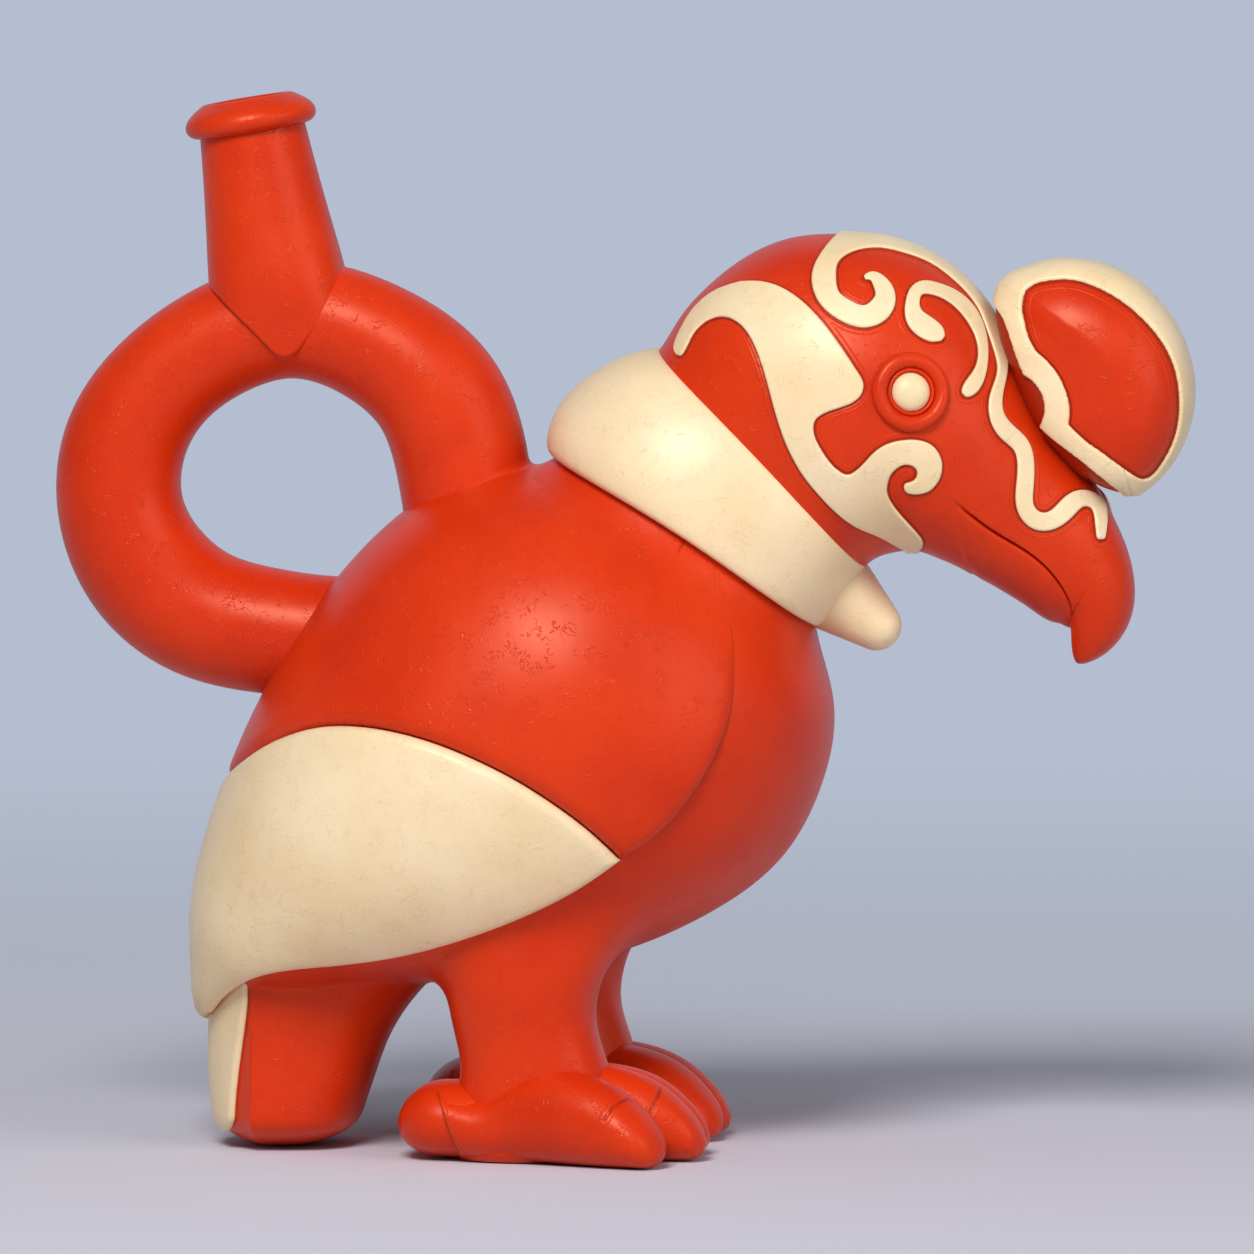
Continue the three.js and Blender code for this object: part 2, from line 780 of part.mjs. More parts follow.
// Tail, with its cream stripe round the rear face.
const tailFree = (shape) => shape.subtract(bodyKeepOut).subtract(wingKeepOut);
add("tail", tailFree(tailSolid(0).intersect(aboveGround)), redSlip);
const stripeOutline = [...stripeEdge, [-reach, stripeEdge[3][1]], [-reach, stripeEdge[0][1]]].map(corner);
add(
  "tail_stripe",
  tailFree(tailSolid(reliefRise).subtract(tailSolid(gap)).intersect(both(stripeOutline))),
  creamSlip,
);

// Legs and toes.
const legKeepOut = legSolid(gap);
const rightLeg = legSolid(0)
  .intersect(aboveGround)
  .subtract(bodyKeepOut)
  .subtract(slab(offset(wingOutline, gap)))
  .subtract(tailSolid(gap));
addPair("leg", rightLeg, redSlip);
let placedToes = [];
for (const toe of toes) {
  let shape = toeSolid(toe).subtract(legKeepOut);
  for (const placed of placedToes) shape = shape.subtract(placed);
  addPair(toe.name, main(shape), redSlip);
  placedToes.push(toeSolid({ ...toe, length: toe.length + gap, half: toe.half + gap, tall: toe.tall + gap }));
}

// Stirrup arms: bored tubes that end on the body, in the notch and on each other.
const stirrup = stirrupTube(0).subtract(bore).subtract(bodyKeepOut).subtract(aboveNotch(gap));
const planePoint = ({ x, z }) => [x, z];
const [notchFoot, notchHead] = [spoutPoint(-40), spoutPoint(60)].map(planePoint);
add("stirrup_rear_arm", main(stirrup.intersect(beyond(notchFoot, notchHead, gap / 2))), redSlip);
add("stirrup_front_arm", main(stirrup.intersect(beyond(notchHead, notchFoot, gap / 2))), redSlip);

// Spout tube and its rim.
const spoutTop = spoutSections[spoutSections.length - 1][0];
const spoutBoreRings = [-20, spoutTop + 10].map((height) => spoutRing([height, spoutBore, spoutBore]));
add(
  "spout_tube",
  skin(ringsOf(spoutSections, facets.spout.rings, spoutRing), facets.spout.sides)
    .intersect(aboveNotch(0))
    .subtract(skin(spoutBoreRings, facets.bore.sides))
    .subtract(bore),
  redSlip,
);
const rimTurn = new THREE.Matrix4().makeBasis(
  spoutAcross,
  spoutUp,
  new THREE.Vector3().crossVectors(spoutAcross, spoutUp),
);
const rimGeometry = new THREE.LatheGeometry(
  [...rimProfile, rimProfile[0]].map(([r, h]) => new THREE.Vector2(r, h)),
  facets.spout.sides,
);
rimGeometry.applyMatrix4(rimTurn.setPosition(spoutPoint(spoutTop + gap)));
add("spout_rim", solid(rimGeometry), redSlip);

// Collar: a ring round the neck, with the wattle on its front.
const collarSkin = (grow) => {
  const rings = ringsOf(collarSections, facets.collar.rings, (row) => midRing(row, grow), seamBow.lower);
  return skin(rings, facets.collar.sides, squareness.body);
};
const collarBore = skin(
  ringsOf(
    collarSections.map(([a, b, c, d]) => [a, b, c, d, lowerSeat[4]]),
    facets.collarBore.rings,
    (row) => midRing(row, -collarWall),
    seamBow.lower,
  ),
  facets.collarBore.sides,
);
const collar = collarSkin(0).intersect(aboveLower(0)).subtract(aboveUpper(0)).subtract(collarBore);
add("collar", collar, creamSlip);
const wattleAxis = new THREE.Vector3(
  wattle.tip[0] - wattle.base[0],
  0,
  wattle.tip[1] - wattle.base[1],
);
const wattleRing = (distance, radius) => ({
  centre: new THREE.Vector3(wattle.base[0], 0, wattle.base[1]).addScaledVector(
    wattleAxis.clone().normalize(),
    distance,
  ),
  up: new THREE.Vector3(wattleAxis.z, 0, -wattleAxis.x).setLength(radius),
  side: new THREE.Vector3(0, radius, 0),
});
const wattleRings = [-wattle.root, 0, wattleAxis.length() / 2].map((d) =>
  wattleRing(d, wattle.baseRadius + ((wattle.tipRadius - wattle.baseRadius) * Math.max(d, 0)) / wattleAxis.length()),
);
for (const degrees of [0, 25, 48, 68, 84]) {
  const a = THREE.MathUtils.degToRad(degrees);
  wattleRings.push(
    wattleRing(wattleAxis.length() + wattle.tipRadius * Math.sin(a), wattle.tipRadius * Math.cos(a)),
  );
}
const collarKeepOut = collarSkin(gap);
add("throat_wattle", skin(wattleRings, 14).subtract(collarKeepOut).subtract(headKeepOut), creamSlip);

// Head: two halves of a shell that is open to the neck.
const headShell = headSolid(0).subtract(headSolid(-wall, facets.headHollow)).intersect(aboveUpper(gap));
addPair("head_half", headShell.intersect(rightHalf), redSlip);

// Bill: upper with the hook, and lower, divided along the mouth.
const bill = billSolid(0).subtract(headKeepOut);
add("upper_bill", bill.subtract(belowMouth(gap / 2)), redSlip);
add("lower_bill", bill.intersect(belowMouth(-gap / 2)), redSlip);

// Crest: core with its stem, and a cream border on each side.
const crestLine = line(crestOutline.map(onDisc), true, 22);
const stemLine = stemOutline.map(onDisc).map(corner);
add(
  "crest",
  crestDisc(0)
    .intersect(both(crestLine))
    .add(slab(stemLine, -stemHalf, stemHalf))
    .subtract(headKeepOut)
    .subtract(billKeepOut),
  redSlip,
);
const onCrest = crestDisc(reliefRise + gap)
  .subtract(crestDisc(gap))
  .intersect(both(crestLine))
  .intersect(rightHalf)
  .subtract(slab(line(crestPanel.map(onDisc), true, 22)))
  .subtract(headSolid(reliefRise + 2 * gap))
  .subtract(billKeepOut);
addPair("crest_border", onCrest, creamSlip);

// Eyes: a raised ring with the eyeball inside it.
const { ringOuter, ringInner, ball, proud, root: eyeRoot } = eye;
const ringMiddle = (ringOuter + ringInner) / 2;
const ringProfile = [
  [ringInner, -eyeRoot],
  [ringInner, proud * 0.3],
  [ringInner + 0.5, proud * 0.8],
  [ringMiddle, proud],
  [ringOuter - 0.5, proud * 0.8],
  [ringOuter, proud * 0.3],
  [ringOuter, -eyeRoot],
  [ringInner, -eyeRoot],
];
const ballProfile = [
  [0, -eyeRoot],
  [ball, -eyeRoot],
  [ball, 0],
  [ball * 0.85, proud * 0.6],
  [ball * 0.5, proud],
  [0, proud * 1.2],
];
addPair("eye_ring", eyeTurned(ringProfile, 16).subtract(headKeepOut), redSlip);
addPair("eye", eyeTurned(ballProfile, 10).subtract(headKeepOut), creamSlip);

// Relief on the head: slipped bands and plates that follow the skin under them.
const crestKeepOut = crestDisc(reliefRise + 2 * gap)
  .intersect(both(offset(crestLine, gap)))
  .add(slab(offset(stemLine, gap), -stemHalf - gap, stemHalf + gap));
const reliefSkin = headSolid(gap + reliefRise)
  .add(billSolid(gap + reliefRise))
  .subtract(headKeepOut)
  .subtract(billKeepOut)
  .intersect(aboveUpper(2 * gap))
  .subtract(crestKeepOut)
  .subtract(collarKeepOut)
  .intersect(rightHalf);
const leaf = slab(line(cheekPlate, true, 34)).add(slab(band(cheekScroll, 9)));
addPair("crown_scroll", reliefSkin.intersect(slab(band(crownScroll, 29))), creamSlip);
addPair("brow_scroll", reliefSkin.intersect(slab(band(browScroll, 13))), creamSlip);
addPair("cheek_plate", reliefSkin.intersect(leaf), creamSlip);

export default root;
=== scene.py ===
import bpy
import numpy as np
from mathutils import Matrix, Vector
from mathutils.geometry import delaunay_2d_cdt


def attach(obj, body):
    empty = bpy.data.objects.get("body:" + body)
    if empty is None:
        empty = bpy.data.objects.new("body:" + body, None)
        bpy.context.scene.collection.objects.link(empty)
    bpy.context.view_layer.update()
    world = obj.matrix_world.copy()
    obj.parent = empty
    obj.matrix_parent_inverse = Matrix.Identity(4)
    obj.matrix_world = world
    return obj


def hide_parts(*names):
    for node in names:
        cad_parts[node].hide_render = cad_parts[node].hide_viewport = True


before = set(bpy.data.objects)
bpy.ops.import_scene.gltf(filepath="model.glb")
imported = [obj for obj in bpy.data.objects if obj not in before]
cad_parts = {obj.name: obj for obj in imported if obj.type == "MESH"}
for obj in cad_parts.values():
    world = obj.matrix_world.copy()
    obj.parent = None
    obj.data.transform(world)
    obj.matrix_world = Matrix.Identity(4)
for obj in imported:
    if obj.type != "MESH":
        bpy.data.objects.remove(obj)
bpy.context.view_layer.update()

# Camera: a long lens 3.5 m off, a little in front of the bird's right side and a little above level.
# Lines on the bottle that were measured in the photograph are given in its pixels, 1254 each way.
picture_middle = 627.0
pixel = 0.185  # millimetres at the aim
distance = 3500.0
aim = np.array([0.0, 0.0, 96.755])
turn, lift = np.radians(6.0), np.radians(4.5)
towards = np.array([np.sin(turn) * np.cos(lift), -np.cos(turn) * np.cos(lift), np.sin(lift)])
rightward = np.array([np.cos(turn), np.sin(turn), 0.0])
upward = np.cross(towards, rightward)


def seen(points):
    """Pixels of the photograph where points show: their steps right and up from the aim, in perspective."""
    steps = points - aim
    near = distance / (distance - steps @ towards) / pixel
    across, above = steps @ rightward * near, steps @ upward * near
    return np.stack([picture_middle + across, picture_middle - above], -1)


lens = bpy.data.cameras.new("camera")
lens.sensor_width = 36.0
lens.lens = 36.0 * distance / (2 * picture_middle * pixel)
camera = bpy.data.objects.new("camera", lens)
placed = Matrix(np.stack([rightward, upward, towards], 1).tolist()).to_4x4()
placed.translation = Vector((aim + towards * distance) / 1000)
camera.matrix_world = placed
bpy.context.scene.collection.objects.link(camera)
bpy.context.scene.camera = camera


# Body: one hollow belly, pressed in a two-piece mould, luted and burnished until no joint shows.
# It is low-fired clay under red slip. Ovals stand across the middle plane, from the tail to the neck.
def spline(rows, t):
    """Rows of numbers as one smooth curve, read at t from 0 to 1.

    A natural cubic spline, whose knots lie as far apart as the points in the rows' first numbers."""
    rows = np.asarray(rows, float)
    count = len(rows)
    knots = np.r_[0, np.cumsum(np.linalg.norm(np.diff(rows[:, :4], axis=0), axis=1))]
    knots /= knots[-1]
    gaps = np.diff(knots)[:, None]
    slopes = np.diff(rows, axis=0) / gaps
    inner = np.arange(1, count - 1)
    system = np.eye(count)
    system[inner, inner - 1] = gaps[:-1, 0]
    system[inner, inner] = 2 * (gaps[:-1, 0] + gaps[1:, 0])
    system[inner, inner + 1] = gaps[1:, 0]
    bends = np.zeros_like(rows)
    bends[1:-1] = 6 * np.diff(slopes, axis=0)
    bends = np.linalg.solve(system, bends)
    t = np.asarray(t, float)
    k = np.clip(np.searchsorted(knots, t, side="right") - 1, 0, count - 2)
    w = (t - knots[k])[..., None]
    gap = gaps[k]
    linear_part = slopes[k] - gap * (2 * bends[k] + bends[k + 1]) / 6
    return rows[k] + w * linear_part + w**2 * bends[k] / 2 + w**3 * (bends[k + 1] - bends[k]) / (6 * gap)


def loft(rows, fullness):
    """A surface of ovals, as a function of the share of the way along it and the angle round from the top.

    Each row gives an oval's top and low points on the middle plane, its half width, and how far its sides
    run forward. The angle grows towards the bird's right. Fullness squares the ovals a little."""

    def surface(along, angle):
        row = spline(rows, along)
        top, low, half, bow = row[..., 0:2], row[..., 2:4], row[..., 4], row[..., 5]
        full = 1 + fullness * np.sin(2 * angle) ** 2
        across = (top - low) / 2
        middle = (top + low) / 2 + across * (full * np.cos(angle))[..., None]
        forward = np.stack([across[..., 1], -across[..., 0]], -1)
        forward = forward / np.linalg.norm(forward, axis=-1, keepdims=True)
        middle = middle + forward * (bow * np.sin(angle) ** 2)[..., None]
        return np.stack([middle[..., 0], -half * full * np.sin(angle), middle[..., 1]], -1)

    return surface


def outward(surface, along, angle, step=1e-4):
    """Unit normals of a surface: its step round crossed with its step along."""
    low, high = np.clip(along - step, 0, 1), np.clip(along + step, 0, 1)
    forth = surface(high, angle) - surface(low, angle)
    around = surface(along, angle + step) - surface(along, angle - step)
    normal = np.cross(around, forth)
    return normal / np.maximum(np.linalg.norm(normal, axis=-1, keepdims=True), 1e-12)


def settle(surface, targets, where=seen, start=None):
    """Places (along, angle) on the right half of a surface, whose points fall on the targets.

    Where puts points among the targets, such as pixels. From the nearest knot of a coarse net, or from
    the start given, each step solves the two slopes for the miss, by least squares a little damped."""
    if start is None:
        s, a = np.meshgrid(np.linspace(0, 1, 90), np.linspace(0, np.pi, 70), indexing="ij")
        spots = where(surface(s, a)).reshape(-1, targets.shape[-1])
        pick = ((targets[:, None] - spots) ** 2).sum(-1).argmin(1)
        s, a = s.ravel()[pick], a.ravel()[pick]
    else:
        s, a = start
    tiny = 1e-5
    for _ in range(30 if start is None else 10):
        here = where(surface(s, a))
        by_s = (where(surface(s + tiny, a)) - here) / tiny
        by_a = (where(surface(s, a + tiny)) - here) / tiny
        miss = targets - here
        ss, sa, aa = (by_s**2).sum(-1) * 1.002, (by_s * by_a).sum(-1), (by_a**2).sum(-1) * 1.002
        sm, am = (by_s * miss).sum(-1), (by_a * miss).sum(-1)
        size = ss * aa - sa**2 + 1e-9
        s = np.clip(s + np.clip((aa * sm - sa * am) / size, -0.05, 0.05), 0, 1)
        a = np.clip(a + np.clip((ss * am - sa * sm) / size, -0.2, 0.2), 0, np.pi)
    return s, a


def ring_net(grid, hoop=False):
    """Points and faces of rings of points, closed round each ring.

    The end rings are closed over, or in a hoop the last ring joins the first."""
    rings, sides = grid.shape[:2]
    k = np.arange(sides)
    after = (k + 1) % sides
    base = np.arange(rings if hoop else rings - 1)[:, None] * sides
    quads = np.stack([base + k, base + sides + k, base + sides + after, base + after], -1)
    if hoop:
        return grid.reshape(-1, 3), (quads % (rings * sides)).reshape(-1, 4).tolist()
    points = np.vstack([grid.reshape(-1, 3), grid[0].mean(0), grid[-1].mean(0)])
    end = (rings - 1) * sides
    first = np.stack([np.full(sides, rings * sides), k, after], -1)
    last = np.stack([np.full(sides, rings * sides + 1), end + after, end + k], -1)
    return points, quads.reshape(-1, 4).tolist() + first.tolist() + last.tolist()


def distance_to(points, line):
    """How far each point is from the nearest point of a line, in portions that fit in memory."""
    portions = np.array_split(points, max(1, len(points) * len(line) // 4_000_000))
    lengths = [np.sqrt(((p[:, None] - line) ** 2).sum(-1).min(1)) for p in portions]
    return np.concatenate(lengths)


def piece(name, net, material, slot, *nodes, mirror=False, crease=None, scored=None):
    """A closed, smooth mesh that stands for the named solids, from a net of points in millimetres and faces.

    Mirror turns it over to the bird's left. Crease is a test of points, and an edge between two points
    that pass it stays sharp. Scored gives, for each point, 3 mm less its distance from a scored line, and
    a net may hold it as a third item."""
    points, faces = np.array(net[0], float), net[1]
    scored = net[2] if len(net) > 2 else scored
    if mirror:
        points[:, 1] *= -1
        faces = [face[::-1] for face in faces]
    mesh = bpy.data.meshes.new(name)
    mesh.from_pydata((points / 1000).tolist(), [], faces)
    mesh.shade_smooth()
    mesh.calc_loop_triangles()
    triangles = np.empty(len(mesh.loop_triangles) * 3, np.int32)
    mesh.loop_triangles.foreach_get("vertices", triangles)
    corners = points[triangles.reshape(-1, 3)]
    if (np.cross(corners[:, 0], corners[:, 1]) * corners[:, 2]).sum() < 0:
        mesh.flip_normals()
    if crease is not None:
        ends = np.empty(len(mesh.edges) * 2, np.int32)
        mesh.edges.foreach_get("vertices", ends)
        sharp = crease(points)[ends.reshape(-1, 2)].all(1)
        mesh.attributes.new("sharp_edge", "BOOLEAN", "EDGE").data.foreach_set("value", sharp)
    if scored is not None:
        mesh.attributes.new("scored", "FLOAT", "POINT").data.foreach_set("value", scored.astype(np.float32))
    mesh.materials.append(material)
    made = bpy.data.objects.new(name, mesh)
    bpy.context.scene.collection.objects.link(made)
    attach(made, "root")
    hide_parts(*nodes)
    return made


def linear(code):
    """An sRGB hex colour as the linear numbers that a shader takes."""
    shares = [int(code[i : i + 2], 16) / 255 for i in (1, 3, 5)]
    return [c / 12.92 if c <= 0.04045 else ((c + 0.055) / 1.055) ** 2.4 for c in shares] + [1.0]


def add(tree, kind, settings=None, inputs=None):
    """A node with its settings, and its inputs set to values or linked to other nodes' outputs."""
    node = tree.nodes.new("ShaderNode" + kind)
    for key, value in (settings or {}).items():
        setattr(node, key, value)
    for key, value in (inputs or {}).items():
        if isinstance(value, bpy.types.NodeSocket):
            tree.links.new(value, node.inputs[key])
        else:
            node.inputs[key].default_value = value
    return node


def burnished_slip(name, low, high, speck, speckled, groove_shade, sheen):
    """Fine clay slip rubbed with a pebble: satin and a little cloudy, with short crooked rubbing marks.

    Low and high are the cloudy colours, speck the colour of its dark grains, the groove colour a darker one
    painted as shade into its grooves and the feet of raised edges, and sheen that of what it mirrors."""
    material = bpy.data.materials.new(name)
    material.use_nodes = True
    tree = material.node_tree
    shader = tree.nodes["Principled BSDF"]
    soft, blend = {"interpolation_type": "SMOOTHSTEP"}, {"data_type": "RGBA"}
    place = add(tree, "TexCoord").outputs["Object"]
    # Slip thicker and thinner, over about 20 mm, and its grain, 0.5 mm.
    clouds = add(tree, "TexNoise", None, {"Vector": place, "Scale": 50.0, "Detail": 4.0})
    colour = add(tree, "ValToRGB", None, {"Fac": clouds.outputs["Fac"]})
    for element, position, code in zip(colour.color_ramp.elements, (0.32, 0.68), (low, high)):
        element.position = position
        element.color = linear(code)
    grain = add(tree, "TexNoise", None, {"Vector": place, "Scale": 2400.0, "Detail": 2.0})
    grain_range = {"Value": grain.outputs["Fac"], "From Min": 0.64, "From Max": 0.8, "To Max": speckled}
    grain_share = add(tree, "MapRange", soft, grain_range).outputs[0]
    specked = add(tree, "Mix", blend, {0: grain_share, 6: colour.outputs["Color"], 7: linear(speck)})
    # Scored lines round the slipped figures: a groove 0.6 mm wide, and a low ridge 1.1 mm off.
    scored = add(tree, "Attribute", {"attribute_name": "scored"}).outputs["Fac"]
    groove_and_shade = add(tree, "MapRange", soft, {"Value": scored, "From Min": 2.4, "From Max": 2.85}).outputs[0]
    # Painted shade: grooves and the feet of raised edges take the darker groove colour.
    shaded = add(tree, "Mix", blend, {0: groove_and_shade, 6: specked.outputs[2], 7: linear(groove_shade)})
    tree.links.new(shaded.outputs[2], shader.inputs["Base Color"])
    ridge_off = add(tree, "Math", {"operation": "SUBTRACT"}, {0: scored, 1: 1.85})
    ridge_near = add(tree, "Math", {"operation": "ABSOLUTE"}, {0: ridge_off.outputs[0]})
    ridge_range = {"Value": ridge_near.outputs[0], "From Max": 0.22, "To Min": 0.5, "To Max": 0.0}
    ridge = add(tree, "MapRange", soft, ridge_range)
    scoring = add(tree, "Math", {"operation": "SUBTRACT"}, {0: ridge.outputs[0], 1: groove_and_shade})
    lines = add(tree, "Bump", None, {"Strength": 0.6, "Distance": 0.0002, "Height": scoring.outputs[0]})
    # Rubbing marks: crooked lines about 0.3 mm wide, in patches.
    swirl = add(tree, "TexNoise", None, {"Vector": place, "Scale": 420.0, "Detail": 1.0, "Distortion": 1.6})
    off = add(tree, "Math", {"operation": "SUBTRACT"}, {0: swirl.outputs["Fac"], 1: 0.5})
    near = add(tree, "Math", {"operation": "ABSOLUTE"}, {0: off.outputs[0]})
    mark_range = {"Value": near.outputs[0], "From Max": 0.035, "To Min": 1.0, "To Max": 0.0}
    mark = add(tree, "MapRange", soft, mark_range)
    patches = add(tree, "TexNoise", None, {"Vector": place, "Scale": 330.0, "Detail": 2.0})
    patch = add(tree, "MapRange", soft, {"Value": patches.outputs["Fac"], "From Min": 0.48, "From Max": 0.6})
    marks = add(tree, "Math", {"operation": "MULTIPLY"}, {0: mark.outputs[0], 1: patch.outputs[0]})
    rub_bump = {"Strength": 0.6, "Distance": 0.0001, "Height": marks.outputs[0], "Normal": lines.outputs[0]}
    rubbed = add(tree, "Bump", None, rub_bump)
    # The hand's unevenness, over about 6 mm.
    dents = add(tree, "TexNoise", None, {"Vector": place, "Scale": 160.0, "Detail": 2.0})
    dent_bump = {"Strength": 0.25, "Distance": 0.0002, "Height": dents.outputs["Fac"]}
    uneven = add(tree, "Bump", None, {**dent_bump, "Normal": rubbed.outputs[0]})
    tree.links.new(uneven.outputs[0], shader.inputs["Normal"])
    # Satin: the slip shines a little more where it is thicker.
    gloss = add(tree, "MapRange", None, {"Value": clouds.outputs["Fac"], "To Min": 0.33, "To Max": 0.43})
    tree.links.new(gloss.outputs[0], shader.inputs["Roughness"])
    shader.inputs["IOR"].default_value = 1.5
    shader.inputs["Specular Tint"].default_value = linear(sheen)
    return material


# Red slip, of clay rich in iron: a warm orange red with fine dark grains and soft pinkish highlights. Its
# grooves take a darker red, painted in as shade.
red = burnished_slip("burnished_red_slip", "#cb2b04", "#d83507", "#8c2210", 0.3, "#a3240a", "#ffc4a6")

body = loft(
    [
        # back x and z, belly x and z, half width, bow
        [-76.8, 22.8, -75.6, 22.3, 2.4, 0],
        [-78, 26.2, -73, 23.8, 8.5, 0],
        [-78.6, 33, -68, 25.5, 15, 0],
        [-78.6, 44, -58, 27.5, 24.9, 0],
        [-76, 57, -46, 29.5, 32.9, 0],
        [-71.2, 71, -33, 31, 39.5, 0],
        [-65, 84.5, -17, 33, 44.2, 0],
        [-57.5, 97, 0, 37, 46.5, 0],
        [-48.5, 108.5, 16, 44.2, 47, 0],
        [-38.5, 117.5, 29, 54.5, 45.6, 0],
        [-28, 123.2, 36.5, 69, 41.8, 0],
        [-19.5, 126.2, 38, 84, 36.2, 0],
        [-14, 127.8, 35, 97, 29.6, 0],
        [-8, 132, 36, 104, 25.9, 0],
    ],
    fullness=0.017,
)
along, angle = np.meshgrid(np.linspace(0, 1, 180), np.arange(320) * np.pi / 160, indexing="ij")
body_grid = body(along, angle)
piece("body", ring_net(body_grid), red, "red_slip", "right_body_half", "left_body_half")


# Wings: folded along the flanks and raised about 2 mm, coverts in red over primaries in cream.
# Modelled in clay on the body, then each covered with its own slip, with a soft rounded edge.
# Their edges, in pixels: down the front, back along the foot, and the line over the primaries.
wing_front = [
    [676, 556], [697, 573], [719, 594], [731, 626], [734, 655], [734, 679], [728, 720], [700, 780],
    [665, 825], [620, 857],
]
wing_foot = [
    [620, 857], [587, 880], [551, 900], [485, 927], [407, 949], [316, 962], [251, 977], [238, 985],
    [225, 997], [214, 1012],
]
primaries_top = [
    [619, 857], [592, 832], [549, 800], [515, 779], [475, 759], [435, 743], [395, 732], [360, 727],
    [334, 727], [319, 729], [293, 737], [270, 749], [253, 761.5],
]


def drawn(surface, pixels, spacing=2.5):
    """Places on a surface along a smooth line through pixels of the photograph."""
    length = np.linalg.norm(np.diff(np.asarray(pixels, float), axis=0), axis=1).sum()
    line = spline(pixels, np.linspace(0, 1, int(length / spacing) + 2))[:, :2]
    return np.stack(settle(surface, line), -1)


def carried_back(line, end):
    """A line of places carried on to the middle plane of the back.

    Its place along goes to the end with the square of the angle that is left."""
    left = np.linspace(1, 0, 31)[1:]
    along = end + (line[-1, 0] - end) * left**2
    return np.vstack([line, np.stack([along, line[-1, 1] * left], -1)])


front_line = drawn(body, wing_front)
foot_line = carried_back(drawn(body, wing_foot), 0.004)
top_line = carried_back(drawn(body, primaries_top), 0.28)


def within(places, outline):
    """Whether places lie inside a closed outline, by the crossings of a line to one side."""
    x, y = places[:, 0, None], places[:, 1, None]
    (x0, y0), (x1, y1) = outline.T, np.roll(outline, -1, 0).T
    crossing = (y0 > y) != (y1 > y)
    run = np.where(y1 == y0, 1e-9, y1 - y0)
    return (crossing & (x < (x1 - x0) * (y - y0) / run + x0)).sum(1) % 2 == 1


def rounded(away, edge):
    """A quarter round: 0 on the edge, and 1 from the given distance inwards."""
    return np.sqrt(1 - (1 - np.clip(away / edge, 0, 1)) ** 2)


def edge_marks(height):
    """3.2 mm less a share of the height, whole at 0.4 mm, so that a figure's low edge shows as scored and
    takes the painted groove shade.
    """
    return 3.2 - np.clip(height / 0.4, 0, 1)


def plate(surface, outline, rise, edge, grain, sunk=0.5):
    """A raised plate on a surface, inside a closed outline of places (along, angle).

    Its height is the rise times a quarter round of the distance from the outline, wherever the outline is
    off the middle plane. Its mesh joins the outline, four lines inside it and an even net whose spacing is
    the grain."""
    s, a = outline[:, 0], outline[:, 1]
    rim = surface(s, a)
    normal = outward(surface, s, a)
    tangent = np.roll(rim, -1, 0) - np.roll(rim, 1, 0)
    way_round = np.sign((a * np.roll(s, -1) - np.roll(a, -1) * s).sum())
    inward = np.cross(normal, tangent) * way_round
    inward /= np.maximum(np.linalg.norm(inward, axis=1, keepdims=True), 1e-9)
    free = a > 1e-6
    # Lines inside the outline, by shares of the edge's width, without those that would cross.
    rows = [outline]
    for share in (0.12, 0.35, 0.7, 1.1):
        places = rim + inward * share * edge
        settled = np.stack(settle(surface, places, lambda p: p, (s, a)), -1)
        clear = distance_to(surface(*settled.T), rim) > share * edge * 0.93
        rows.append(settled[clear & (settled[:, 1] > 1e-3)])
    # An even net of triangles of one size, so the two numbers of a place are scaled to millimetres.
    tiny = 1e-4
    forth = surface(s + tiny, a) - surface(s - tiny, a)
    round_it = surface(s, a + tiny) - surface(s, a - tiny)
    scale = np.array([np.median(np.linalg.norm(step, axis=1)) / (2 * tiny) for step in (forth, round_it)])
    low, high = outline.min(0) * scale, outline.max(0) * scale
    u, v = np.meshgrid(np.arange(low[0], high[0], grain * 0.87), np.arange(low[1], high[1], grain))
    v = v + (np.arange(u.shape[1]) % 2) * grain / 2
    even = np.stack([u.ravel(), v.ravel()], -1)
    even = even[within(even, outline * scale)] / scale
    even = even[distance_to(surface(*even.T), rim) > edge * 1.1 + grain * 0.45]
    rows.append(even)
    flat = np.vstack(rows)[:, ::-1] * scale[::-1]
    count = len(outline)
    loop = [(i, (i + 1) % count) for i in range(count)]
    made = delaunay_2d_cdt([Vector(p) for p in flat.tolist()], loop, [], 1, 1e-7)
    places = np.array([tuple(p) for p in made[0]])[:, ::-1] / scale
    skin = surface(*places.T)
    facing = outward(surface, *places.T)
    away = distance_to(skin, rim[free])
    height = rise(*places.T) if callable(rise) else rise
    height = height * rounded(away, edge)
    top = skin + facing * height[:, None]
    bottom = skin - facing * sunk
    # Walls join the top and the bottom along each side that only one triangle has.
    triangles = np.array(made[2])
    total = len(top)
    sides = np.vstack([triangles[:, [0, 1]], triangles[:, [1, 2]], triangles[:, [2, 0]]])
    keys = sides[:, 0] * total + sides[:, 1]
    border = sides[~np.isin(sides[:, 1] * total + sides[:, 0], keys)]
    walls = np.stack([border[:, 1], border[:, 0], border[:, 0] + total, border[:, 1] + total], -1)
    faces = triangles.tolist() + (triangles[:, ::-1] + total).tolist() + walls.tolist()
    return np.vstack([top, bottom]), faces, edge_marks(np.r_[height, np.zeros(total)])


def on_middle(points):
    """Whether each point lies in the middle plane."""
    return np.abs(points[:, 1]) < 1e-3


def pair(name, net, material, slot, **more):
    """The same piece on both sides of the bird: the right one as given, and the left one mirrored."""
    for side, mirror in (("right", False), ("left", True)):
        node = f"{side}_{name}"
        piece(node, net, material, slot, node, mirror=mirror, **more)
